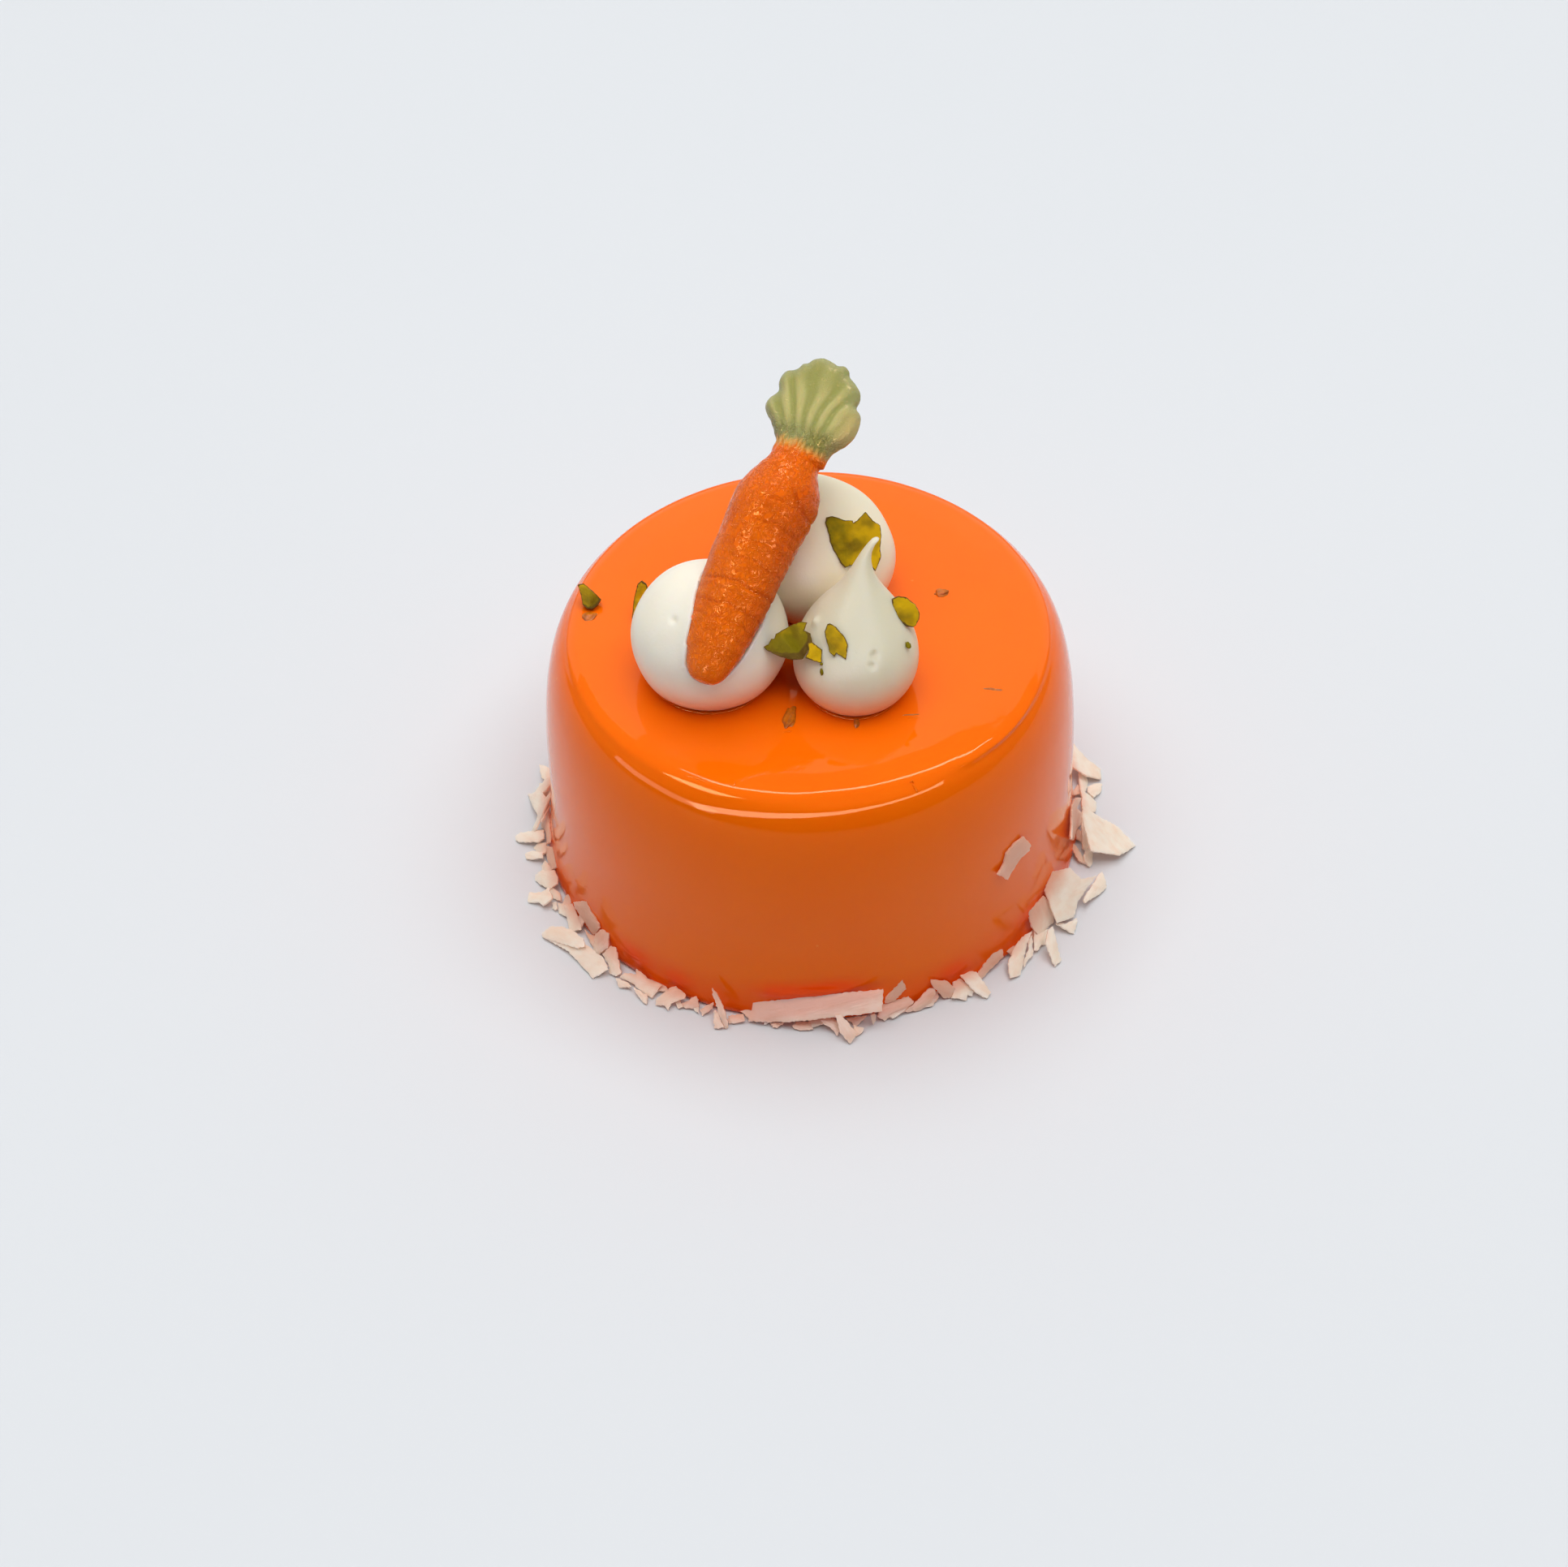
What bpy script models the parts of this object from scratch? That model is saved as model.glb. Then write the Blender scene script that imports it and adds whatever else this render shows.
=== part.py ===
"""Mini mousse cake: a glazed body ringed with coconut flakes, topped with cream, a carrot and pistachio.

Origin at the centre of the base, +Z up, the front of the cake towards -Y. Sizes are in metres.
"""

import math
import random

import bmesh
import bpy
from mathutils import Matrix, Vector

MM = 0.001
GAP = 0.3 * MM  # clearance between neighbouring pieces

# Glazed body
CAKE_HEIGHT = 37 * MM
WALL_RADIUS = 36 * MM
BASE_RADIUS = 37 * MM
FLARE_HEIGHT = 15 * MM  # the wall widens towards the base below this height
FLAT_RADIUS = 30 * MM  # the top is level inside this radius
EDGE_RISE = 15 * MM  # length of the edge curve's lower handle
EDGE_RUN = 4 * MM  # length of the edge curve's upper handle
FLARE_STEPS = 4
EDGE_STEPS = 12
CAKE_SEGMENTS = 64

# Cream kisses: centre on the cake, largest radius and its height, full height, how far the tip leans,
# how pointed the upper part is (0 round, 1 drawn out to a tip)
CREAM_FLOOR = CAKE_HEIGHT + GAP
CREAM_SEGMENTS = 30
FOOT_SHARE = 0.755  # radius where a kiss meets the glaze, over its largest radius
TIP_RADIUS = 0.45  # of a kiss drawn out to a point
BELLY_STEPS = 5
DOME_STEPS = 10
KISSES = {
    "cream_left": dict(centre=(-12.7, -7.6), radius=10.3, belly=6.2, height=15.2, lean=(0.0, 0.0), point=0.0),
    "cream_right": dict(centre=(6.0, -10.8), radius=8.1, belly=5.0, height=21.0, lean=(2.9, 4.6), point=1.0),
    "cream_back": dict(centre=(1.4, 7.8), radius=10.6, belly=6.2, height=17.4, lean=(-2.2, 1.0), point=0.3),
}

# Carrot: a moulded root with a fluted, scalloped fan of leaf
CARROT_TIP = (-13.55, -18.9, 45.8)
CARROT_TILT = 30.0
CARROT_HEADING = 63.9  # degrees from +X, seen from above
ROOT_LENGTH = 33.0
ROOT_RADIUS = 5.65
ROOT_BELLY = 23.5  # distance of the largest radius from the tip
ROOT_BLUNTNESS = 0.28
ROOT_FLATNESS = 0.9  # thickness over width
NECK_RADIUS = 3.4
RING_SPACING = 2.9
RING_DEPTH = 0.16
ROOT_SEGMENTS = 20
ROOT_STEPS = 33
TIP_STEPS = (0.15, 0.5, 1.0, 1.6, 2.3, 3.0)  # closer together on the rounded tip
LEAF_START = 31.0  # the flutes fan out from this distance along the carrot
LEAF_LENGTH = 14.7
LEAF_NARROWING = (1.6, 1.15)  # how fast the fan's reach falls off, to the left and to the right
LEAF_THICKNESS = 3.2
LEAF_RIM = 0.25  # half the thickness at the leaf's edge
LEAF_LOBES = 9
LOBE_STEPS = 4
LEAF_ROWS = 5
LEAF_SPREAD = 84.0  # degrees from the middle to the outermost lobe's edge
LOBE_SHIFT = 5.0  # degrees that the middle lobe is off the leaf's middle, to the left
LEAF_NARROWNESS = 0.915
LOBE_DEPTH = 0.07
FLUTE_DEPTH = 0.3

# Pistachio pieces: centre, bearing and elevation of the face, thickness, outline in the face's plane
PISTACHIOS = {
    "pistachio_back": dict(
        centre=(6.1, 1.9, 50.4), bearing=-75, elevation=50, thickness=1.3,
        outline=((-2.9, 3.3), (-1.4, 3.7), (0.7, 2.7), (2.6, 3.6), (4.1, 1.0), (3.2, -2.8), (1.2, -3.4),
                 (-1.6, -2.9), (-2.8, 0.4)),
    ),
    "pistachio_middle": dict(
        centre=(-2.9, -13.4, 47.2), bearing=-90, elevation=50, thickness=1.8,
        outline=((-2.8, -0.7), (-1.3, 0.8), (1.0, 2.2), (2.8, 2.2), (2.4, -0.2), (1.6, -2.3), (-0.6, -2.1)),
    ),
    "pistachio_sliver": dict(
        centre=(0.9, -14.5, 47.2), bearing=-85, elevation=50, thickness=0.9,
        outline=((-0.9, 1.6), (0.1, 0.9), (1.2, -0.8), (0.9, -2.0), (-0.3, -1.6)),
    ),
    "pistachio_front": dict(
        centre=(3.7, -14.5, 48.6), bearing=-98, elevation=45, thickness=1.2,
        outline=((-1.0, 2.3), (1.5, 0.0), (1.4, -2.4), (0.2, -1.3), (-0.4, -2.0), (-1.5, 1.0)),
    ),
    "pistachio_right": dict(
        centre=(12.9, -10.4, 49.0), bearing=-62, elevation=42, thickness=1.4,
        outline=((-1.4, 1.9), (0.6, 1.9), (1.8, 0.6), (1.7, -1.1), (0.6, -2.0), (-0.8, -1.4)),
    ),
    "pistachio_rim": dict(
        centre=(-29.0, 5.0, 38.6), bearing=-88, elevation=48, thickness=1.6,
        outline=((-1.4, 1.6), (0.1, 1.1), (1.7, -0.6), (1.2, -1.2), (-0.6, -1.2), (-0.9, 0.0)),
    ),
    "pistachio_left": dict(
        centre=(-22.2, 1.6, 39.5), bearing=-100, elevation=25, thickness=1.0,
        outline=((-0.3, 2.6), (0.8, 1.2), (0.6, -1.9), (-1.0, -2.0), (-0.9, 0.9)),
    ),
}

# Coconut flakes that show at the front and the sides: bearing, distance of the centre from the base's
# edge, height, length, width, turn from level, lean of the face from upright
FLAKES = (
    (-178, 0.4, 2.0, 8.0, 2.1, 5, 30),
    (-175, 2.0, 1.0, 4.8, 2.2, 74, 82),
    (-171, 1.0, 1.5, 3.0, 1.7, 50, 60),
    (-166, 0.3, 2.2, 5.0, 1.8, 0, 35),
    (-162, 1.1, 1.5, 3.6, 2.5, 54, 60),
    (-159, 2.2, 0.9, 5.0, 2.5, 68, 78),
    (-155, 0.9, 1.8, 3.4, 1.9, -10, 45),
    (-149, 0.8, 2.0, 4.2, 2.4, -20, 45),
    (-147, 0.1, 3.1, 5.8, 2.7, -10, 28),
    (-147, 2.6, 1.7, 6.2, 2.6, 33, 76),
    (-142, 2.5, 0.8, 10.2, 3.2, 15, 78),
    (-140, 0.5, 2.2, 3.3, 2.7, -68, 45),
    (-134, 0.8, 2.0, 4.2, 2.6, -35, 45),
    (-127, 1.0, 1.5, 6.2, 2.5, 4, 55),
    (-125, 0.4, 2.6, 4.2, 1.6, 2, 38),
    (-120, 1.0, 1.4, 3.8, 2.8, 46, 58),
    (-116, 0.7, 1.1, 2.6, 1.6, 44, 60),
    (-112, 0.4, 1.9, 2.8, 1.1, 55, 45),
    (-109, 0.9, 2.6, 5.4, 1.6, -62, 40),
    (-106, 0.1, 1.3, 2.6, 1.7, 8, 40),
    (-90.5, 0.1, 2.2, 18.0, 3.0, 3, 32),
    (-93, 0.9, 0.7, 3.2, 1.7, 4, 75),
    (-87, 1.0, 0.9, 3.2, 1.6, -35, 62),
    (-84, 1.4, 1.6, 4.4, 2.5, -70, 52),
    (-82, 0.9, 1.1, 3.0, 1.8, -42, 60),
    (-73, -0.4, 3.1, 3.8, 1.9, 36, 25),
    (-73.5, 0.7, 1.6, 4.7, 2.4, 11, 45),
    (-68, 0.5, 1.6, 4.6, 2.0, 15, 45),
    (-62, 0.3, 1.8, 4.0, 2.6, -53, 50),
    (-59, 0.8, 1.2, 3.0, 2.2, -58, 58),
    (-56.5, 1.1, 1.8, 4.6, 2.6, -68, 52),
    (-50, 0.3, 1.9, 5.5, 2.2, 7, 45),
    (-45, 1.0, 2.0, 6.0, 3.0, 32, 45),
    (-38, 2.2, 1.4, 6.4, 2.0, 58, 64),
    (-39, 0.4, 1.1, 3.2, 2.2, 30, 60),
    (-34, 0.7, 2.5, 5.7, 3.0, 0, 48),
    (-32, 1.3, 0.7, 4.4, 2.5, -66, 78),
    (-27, 1.0, 3.0, 8.6, 5.6, 0, 42),
    (-21.5, 1.6, 1.4, 6.2, 2.5, -32, 72),
    (-14, 0.5, 1.5, 4.1, 2.1, -7, 60),
    (-9, 3.2, 2.2, 9.6, 4.6, 72, 70),
    (-5.5, -0.2, 3.2, 8.8, 2.5, -8, 28),
    (2.5, 0.7, 1.9, 8.0, 2.3, 7, 40),
    (5, 1.8, 0.9, 4.4, 2.2, -76, 78),
    (12.5, 1.9, 2.2, 8.2, 3.8, 50, 66),
)
WALL_FLAKE = (-44.3, -0.6, 19.2, 6.2, 2.6, 32, 38)  # one flake stuck half way up the wall
HIDDEN_SPAN = (20, 178)  # bearings that the ring continues over behind the cake
HIDDEN_FLAKES = 26
UNDER_FLAKES = 22  # small ones all the way round, under the others
FLAKE_THICKNESS = 0.65
LARGE_FLAKE = 4.0  # length from which a flake has the larger outline
FLAKE_OUTLINES = ((6, 0.0), (8, 22.5))  # corners and place of the first, in degrees, small and large
FLAKE_SQUARENESS = 0.36  # 1 is an oval outline, 0 a rectangle
FLAKE_UNEVENNESS = 13.0  # degrees that a corner strays
RESTING_HEIGHT = 0.1  # no flake reaches lower than this
FLAKE_SEED = 7

# Crumbs of pistachio on the glaze: place, length, width, turn
CRUMBS = (
    (17.9, 5.9, 1.9, 1.4, 10),
    (-2.6, -16.9, 3.8, 1.6, 78),
    (23.4, -11.8, 2.4, 1.2, -15),
)
CRUMB_HEIGHT = 0.7

COLOURS = {
    "glaze": ((0.95, 0.19, 0.01), 0.08),
    "cream": ((0.87, 0.82, 0.70), 0.45),
    "carrot": ((0.82, 0.18, 0.01), 0.3),
    "pistachio": ((0.36, 0.27, 0.03), 0.5),
}


def make_material(name):
    """A Principled material of one colour."""
    colour, roughness = COLOURS[name]
    material = bpy.data.materials.new(name)
    material.use_nodes = True
    shader = material.node_tree.nodes["Principled BSDF"]
    shader.inputs["Base Color"].default_value = (*colour, 1)
    shader.inputs["Roughness"].default_value = roughness
    shader.inputs["Metallic"].default_value = 0
    return material


def add_object(name, mesh_builder, material=None, collection=None):
    """Turn a finished bmesh into a named object."""
    bmesh.ops.recalc_face_normals(mesh_builder, faces=mesh_builder.faces)
    mesh = bpy.data.meshes.new(name)
    mesh_builder.to_mesh(mesh)
    mesh_builder.free()
    thing = bpy.data.objects.new(name, mesh)
    (collection or bpy.context.scene.collection).objects.link(thing)
    if material:
        mesh.materials.append(material)
        mesh.shade_smooth()
        mesh.set_sharp_from_angle(angle=math.radians(50))
    return thing


def boolean(thing, operation, other):
    """Add a Boolean modifier whose operand is an object or a collection."""
    modifier = thing.modifiers.new(operation.lower(), "BOOLEAN")
    modifier.operation = operation
    modifier.solver = "EXACT"
    if isinstance(other, bpy.types.Collection):
        modifier.operand_type = "COLLECTION"
        modifier.collection = other
    else:
        modifier.object = other


def apply_modifiers(thing):
    """Replace the object's mesh with the evaluated one."""
    evaluated = thing.evaluated_get(bpy.context.evaluated_depsgraph_get())
    mesh = bpy.data.meshes.new_from_object(evaluated)
    thing.modifiers.clear()
    spare = thing.data
    thing.data = mesh
    bpy.data.meshes.remove(spare)
    mesh.name = thing.name


def remove_object(thing):
    """Remove an object and its mesh."""
    mesh = thing.data
    bpy.data.objects.remove(thing)
    bpy.data.meshes.remove(mesh)


def hide_cutter(thing):
    """Mark an object as a cutter that isn't part of the cake."""
    thing.hide_render = True
    thing.display_type = "WIRE"


def curve(start, start_handle, end_handle, end, steps):
    """Points along a cubic curve, both ends included."""
    points = []
    for step in range(steps + 1):
        t = step / steps
        weights = ((1 - t) ** 3, 3 * t * (1 - t) ** 2, 3 * t * t * (1 - t), t**3)
        corners = (start, start_handle, end_handle, end)
        points.append(tuple(sum(w * c[axis] for w, c in zip(weights, corners)) for axis in (0, 1)))
    return points


def turn(profile, segments):
    """Spin a profile of (radius, height) points, given from the bottom up, about the Z axis."""
    builder = bmesh.new()
    corners = [builder.verts.new((radius, 0, height)) for radius, height in profile]
    edges = [builder.edges.new(pair) for pair in zip(corners, corners[1:])]
    bmesh.ops.spin(
        builder, geom=corners + edges, cent=(0, 0, 0), axis=(0, 0, 1),
        angle=math.tau, steps=segments, use_merge=True,
    )
    bmesh.ops.remove_doubles(builder, verts=builder.verts, dist=1e-6)
    return builder


def cake_profile():
    """The cake's outline: a slightly flared wall that rounds over into a level top."""
    wall = []
    for step in range(FLARE_STEPS + 1):
        height = FLARE_HEIGHT * step / FLARE_STEPS
        spread = (1 - height / FLARE_HEIGHT) ** 2
        wall.append((WALL_RADIUS + (BASE_RADIUS - WALL_RADIUS) * spread, height))
    edge = curve(
        (WALL_RADIUS, FLARE_HEIGHT), (WALL_RADIUS, FLARE_HEIGHT + EDGE_RISE),
        (FLAT_RADIUS + EDGE_RUN, CAKE_HEIGHT), (FLAT_RADIUS, CAKE_HEIGHT), EDGE_STEPS,
    )
    return [(0, 0)] + wall + edge[1:] + [(0, CAKE_HEIGHT)]


def flake_frame(bearing, out, height, turned, lean):
    """Place of a flake: its centre beyond the base's edge, its long and short axes and its face's normal."""
    angle = math.radians(bearing)
    tilt = math.radians(lean)
    outward = Vector((math.cos(angle), math.sin(angle), 0))
    along = Vector((-math.sin(angle), math.cos(angle), 0))
    normal = outward * math.cos(tilt) + Vector((0, 0, 1)) * math.sin(tilt)
    uphill = normal.cross(along)
    centre = outward * (BASE_RADIUS + out * MM) + Vector((0, 0, height * MM))
    spin = Matrix.Rotation(math.radians(turned), 3, normal)
    return centre, spin @ along, spin @ uphill, normal


def add_flake(collection, row, draw):
    """A thin, slightly bent plate with an irregular outline, both faces split into triangles alike."""
    bearing, out, height, length, width, turned, lean = row
    centre, long_axis, short_axis, normal = flake_frame(bearing, out, height, turned, lean)
    corners, first = FLAKE_OUTLINES[length > LARGE_FLAKE]
    bend = draw.uniform(-0.1, 0.25) * width
    strays = [draw.uniform(-FLAKE_UNEVENNESS, FLAKE_UNEVENNESS) for corner in range(corners)]
    faces = []
    for side in (1, -1):
        points = []
        for corner, stray in enumerate(strays):
            angle = math.radians(first + stray + 360 * corner / corners)
            x = math.copysign(abs(math.cos(angle)) ** FLAKE_SQUARENESS, math.cos(angle)) * length / 2
            y = math.copysign(abs(math.sin(angle)) ** FLAKE_SQUARENESS, math.sin(angle)) * width / 2
            rise = bend * (2 * x / length) ** 2 + side * FLAKE_THICKNESS / 2
            points.append(centre + (long_axis * x + short_axis * y + normal * rise) * MM)
        faces.append(points)
    lowest = min(point.z for points in faces for point in points)
    lift = Vector((0, 0, max(0, RESTING_HEIGHT * MM - lowest)))
    builder = bmesh.new()
    top, bottom = ([builder.verts.new(point + lift) for point in points] for points in faces)
    for corner in range(1, corners - 1):
        builder.faces.new((top[0], top[corner], top[corner + 1]))
        builder.faces.new((bottom[0], bottom[corner + 1], bottom[corner]))
    for corner in range(corners):
        after = (corner + 1) % corners
        builder.faces.new((top[after], top[corner], bottom[corner], bottom[after]))
    add_object(f"flake_{len(collection.objects)}", builder, collection=collection)


def scattered_flakes():
    """The ring behind the cake and the small flakes under the large ones, by a seeded rule."""
    draw = random.Random(FLAKE_SEED)
    first, last = HIDDEN_SPAN
    rows = []
    for place in range(HIDDEN_FLAKES):
        lean = draw.choice((30, 42, 50, 60, 76))
        length = draw.uniform(3.0, 7.5)
        width = draw.uniform(1.4, 2.6)
        turned = draw.uniform(-60, 60)
        steep = math.cos(math.radians(lean))
        rows.append((
            first + (last - first) * (place + draw.uniform(0.2, 0.8)) / HIDDEN_FLAKES,
            0.1 + lean / 75 + draw.uniform(-0.2, 0.2),
            0.9 + 1.6 * steep,
            length, width, turned, lean,
        ))
    for place in range(UNDER_FLAKES):
        rows.append((
            360 * (place + draw.uniform(0, 0.7)) / UNDER_FLAKES,
            draw.uniform(0.2, 0.6), draw.uniform(0.7, 1.3),
            draw.uniform(2.4, 3.9), draw.uniform(1.2, 1.8), draw.uniform(-70, 70), draw.uniform(50, 78),
        ))
    return rows


def add_crumb(collection, row):
    """A low six-sided crumb sunk a little into the top of the cake."""
    x, y, length, width, turned = row
    builder = bmesh.new()
    bmesh.ops.create_cone(
        builder, cap_ends=True, segments=6, radius1=0.5, radius2=0.4, depth=1,
        matrix=Matrix.Diagonal((length, width, CRUMB_HEIGHT, 1)),
    )
    place = Matrix.Translation((x, y, CAKE_HEIGHT / MM + CRUMB_HEIGHT * 0.2))
    place = Matrix.Scale(MM, 4) @ place @ Matrix.Rotation(math.radians(turned), 4, "Z")
    bmesh.ops.transform(builder, matrix=place, verts=builder.verts)
    add_object(f"crumb_{len(collection.objects)}", builder, collection=collection)


def make_cake(material):
    """The glazed body with its coconut flakes and crumbs fused on."""
    cake = add_object("glazed_mousse", turn(cake_profile(), CAKE_SEGMENTS), material)
    toppings = bpy.data.collections.new("toppings")
    bpy.context.scene.collection.children.link(toppings)
    draw = random.Random(FLAKE_SEED + 1)
    for row in FLAKES + (WALL_FLAKE,) + tuple(scattered_flakes()):
        add_flake(toppings, row, draw)
    for row in CRUMBS:
        add_crumb(toppings, row)
    boolean(cake, "UNION", toppings)
    apply_modifiers(cake)
    for piece in list(toppings.objects):
        remove_object(piece)
    bpy.data.collections.remove(toppings)
    return cake


def kiss_profile(radius, belly, height, point, margin):
    """A piped kiss from its foot up: a round belly, then a dome or a flank drawn out to a small tip."""
    foot = FOOT_SHARE * radius
    swell = foot + 0.62 * (radius - foot)
    lower = curve((foot, 0), (swell, belly * 0.25), (radius, belly * 0.6), (radius, belly), BELLY_STEPS)
    rise = height - belly
    tip = TIP_RADIUS * point
    upper = curve(
        (radius, belly), (radius, belly + rise * (0.55 - 0.14 * point)),
        (radius * (0.55 - 0.44 * point), height - rise * 0.36 * point), (tip, height - 0.4 * tip), DOME_STEPS,
    )
    outline = [(0, 0)] + lower + upper[1:]
    if tip:
        outline.append((tip * 0.6, height))
    outline = [(r + margin if r else 0, h) for r, h in outline if r or not h]
    return [(0, -margin)] + [(outline[1][0], -margin)] + outline[2:] + [(0, height + margin)]


def make_kiss(name, centre, radius, belly, height, lean, point, material=None, margin=0.0):
    """One cream kiss standing on the glaze, its axis leaning more towards the tip."""
    builder = turn(kiss_profile(radius, belly, height, point, margin), CREAM_SEGMENTS)
    for corner in builder.verts:
        share = (max(0, corner.co.z) / height) ** 2
        corner.co.x += lean[0] * share
        corner.co.y += lean[1] * share
    place = Matrix.Translation((centre[0] * MM, centre[1] * MM, CREAM_FLOOR)) @ Matrix.Scale(MM, 4)
    bmesh.ops.transform(builder, matrix=place, verts=builder.verts)
    return add_object(name, builder, material)


def root_radius(distance, ring_depth):
    """Half width of the root at a distance from its tip, with shallow rings on its lower part."""
    if distance < ROOT_BELLY:
        radius = ROOT_RADIUS * (distance / ROOT_BELLY) ** ROOT_BLUNTNESS
        fade = min(1, distance / 4) * (1 - distance / ROOT_BELLY)
        return radius - ring_depth * fade * (1 + math.cos(math.tau * distance / RING_SPACING))
    share = (distance - ROOT_BELLY) / (ROOT_LENGTH - ROOT_BELLY)
    return NECK_RADIUS + (ROOT_RADIUS - NECK_RADIUS) * 0.5 * (1 + math.cos(math.pi * share))


def make_root(name, ring_depth=RING_DEPTH, margin=0.0, material=None):
    """The root along +Y from its tip, a little flatter than it is wide."""
    stretch = (ROOT_LENGTH - TIP_STEPS[-1]) / ROOT_STEPS
    distances = TIP_STEPS + tuple(TIP_STEPS[-1] + stretch * (step + 1) for step in range(ROOT_STEPS))
    outline = [(root_radius(distance, ring_depth) + margin, distance) for distance in distances]
    profile = [(0, -margin)] + outline + [(0, ROOT_LENGTH + margin)]
    builder = turn(profile, ROOT_SEGMENTS)
    lay_down = Matrix.Rotation(math.radians(-90), 4, "X")
    flatten = Matrix.Diagonal((1, 1, ROOT_FLATNESS, 1))
    bmesh.ops.transform(builder, matrix=Matrix.Scale(MM, 4) @ flatten @ lay_down, verts=builder.verts)
    return add_object(name, builder, material)


def lobe_phase(angle):
    """Place of an angle in the run of lobes, a whole number of half turns at the middle of each."""
    return (angle + math.radians(LOBE_SHIFT)) / math.radians(LEAF_SPREAD) * LEAF_LOBES * math.pi / 2


def leaf_edge(angle):
    """Distance of the scalloped edge from the leaf's foot, for an angle from the leaf's middle."""
    narrowing = LEAF_NARROWING[angle > 0]
    reach = max(LEAF_LENGTH * math.cos(angle * 0.93) ** narrowing, NECK_RADIUS)
    lobe = abs(math.cos(lobe_phase(angle)))
    return reach * (1 - LOBE_DEPTH * (1 - lobe) * min(1, reach / LEAF_LENGTH + 0.2))


def make_leaf():
    """The fluted fan, a closed plate that is thickest along its ribs and round at its edge."""
    columns = LEAF_LOBES * LOBE_STEPS
    spread = math.radians(LEAF_SPREAD)
    builder = bmesh.new()
    faces = {}
    for side in (1, -1):
        foot = builder.verts.new((0, 0, side * LEAF_THICKNESS / 2 * MM))
        rings = []
        for row in range(1, LEAF_ROWS + 1):
            share = math.sin(row / LEAF_ROWS * math.pi / 2)
            ring = []
            for column in range(columns + 1):
                angle = spread * (2 * column / columns - 1)
                reach = leaf_edge(angle) * share
                flute = math.cos(2 * lobe_phase(angle))
                thick = LEAF_THICKNESS / 2 * (1 - 0.3 * share) + FLUTE_DEPTH * flute * share
                height = thick * math.sqrt(max(0, 1 - share**4)) if row < LEAF_ROWS else LEAF_RIM
                across = reach * LEAF_NARROWNESS * math.sin(angle)
                place = Vector((across, reach * math.cos(angle), side * height))
                ring.append(builder.verts.new(place * MM))
            rings.append(ring)
        faces[side] = (foot, rings)
    for foot, rings in faces.values():
        for left, right in zip(rings[0], rings[0][1:]):
            builder.faces.new((foot, left, right))
        for inner, outer in zip(rings, rings[1:]):
            for column in range(columns):
                builder.faces.new((inner[column], outer[column], outer[column + 1], inner[column + 1]))
    upper, lower = (([foot] + [ring[0] for ring in rings], rings[-1],
                     [foot] + [ring[-1] for ring in rings]) for foot, rings in faces.values())
    for top, bottom in zip(upper, lower):
        for column in range(len(top) - 1):
            builder.faces.new((top[column], top[column + 1], bottom[column + 1], bottom[column]))
    return add_object("leaf", builder)


def place_carrot(thing):
    """Lay a piece that is modelled along +Y on the carrot's axis."""
    thing.location = [value * MM for value in CARROT_TIP]
    thing.rotation_euler = (math.radians(CARROT_TILT), 0, math.radians(CARROT_HEADING - 90))


def make_carrot(material):
    """Root and leaf in one moulded piece."""
    carrot = make_root("carrot", material=material)
    leaf = make_leaf()
    leaf.location = (0, LEAF_START * MM, 0)
    boolean(carrot, "UNION", leaf)
    apply_modifiers(carrot)
    remove_object(leaf)
    place_carrot(carrot)
    return carrot


def make_pistachio(name, centre, bearing, elevation, thickness, outline, material=None, margin=0.0):
    """A broken piece of pistachio: an irregular plate with a ridge along the middle of both faces."""
    angle = math.radians(bearing)
    tilt = math.radians(elevation)
    across = Vector((-math.sin(angle), math.cos(angle), 0))
    normal = Vector((math.cos(angle) * math.cos(tilt), math.sin(angle) * math.cos(tilt), math.sin(tilt)))
    uphill = normal.cross(across)
    builder = bmesh.new()
    middle = Vector(centre)
    rims = []
    for side in (1, -1):
        rim = []
        for x, y in outline:
            stretch = 1 + margin / math.hypot(x, y)
            rise = side * (thickness * 0.3 + margin)
            corner = middle + (across * x + uphill * y) * stretch + normal * rise
            rim.append(builder.verts.new(corner * MM))
        peak = builder.verts.new((middle + normal * side * (thickness * 0.5 + margin)) * MM)
        for this, after in zip(rim, rim[1:] + rim[:1]):
            builder.faces.new((peak, this, after))
        rims.append(rim)
    for here in range(len(outline)):
        after = (here + 1) % len(outline)
        builder.faces.new((rims[0][here], rims[0][after], rims[1][after], rims[1][here]))
    return add_object(name, builder, material)


def cut(thing, *cutters):
    """Take the cutters' shapes out of a piece."""
    for cutter in cutters:
        boolean(thing, "DIFFERENCE", cutter)


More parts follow.
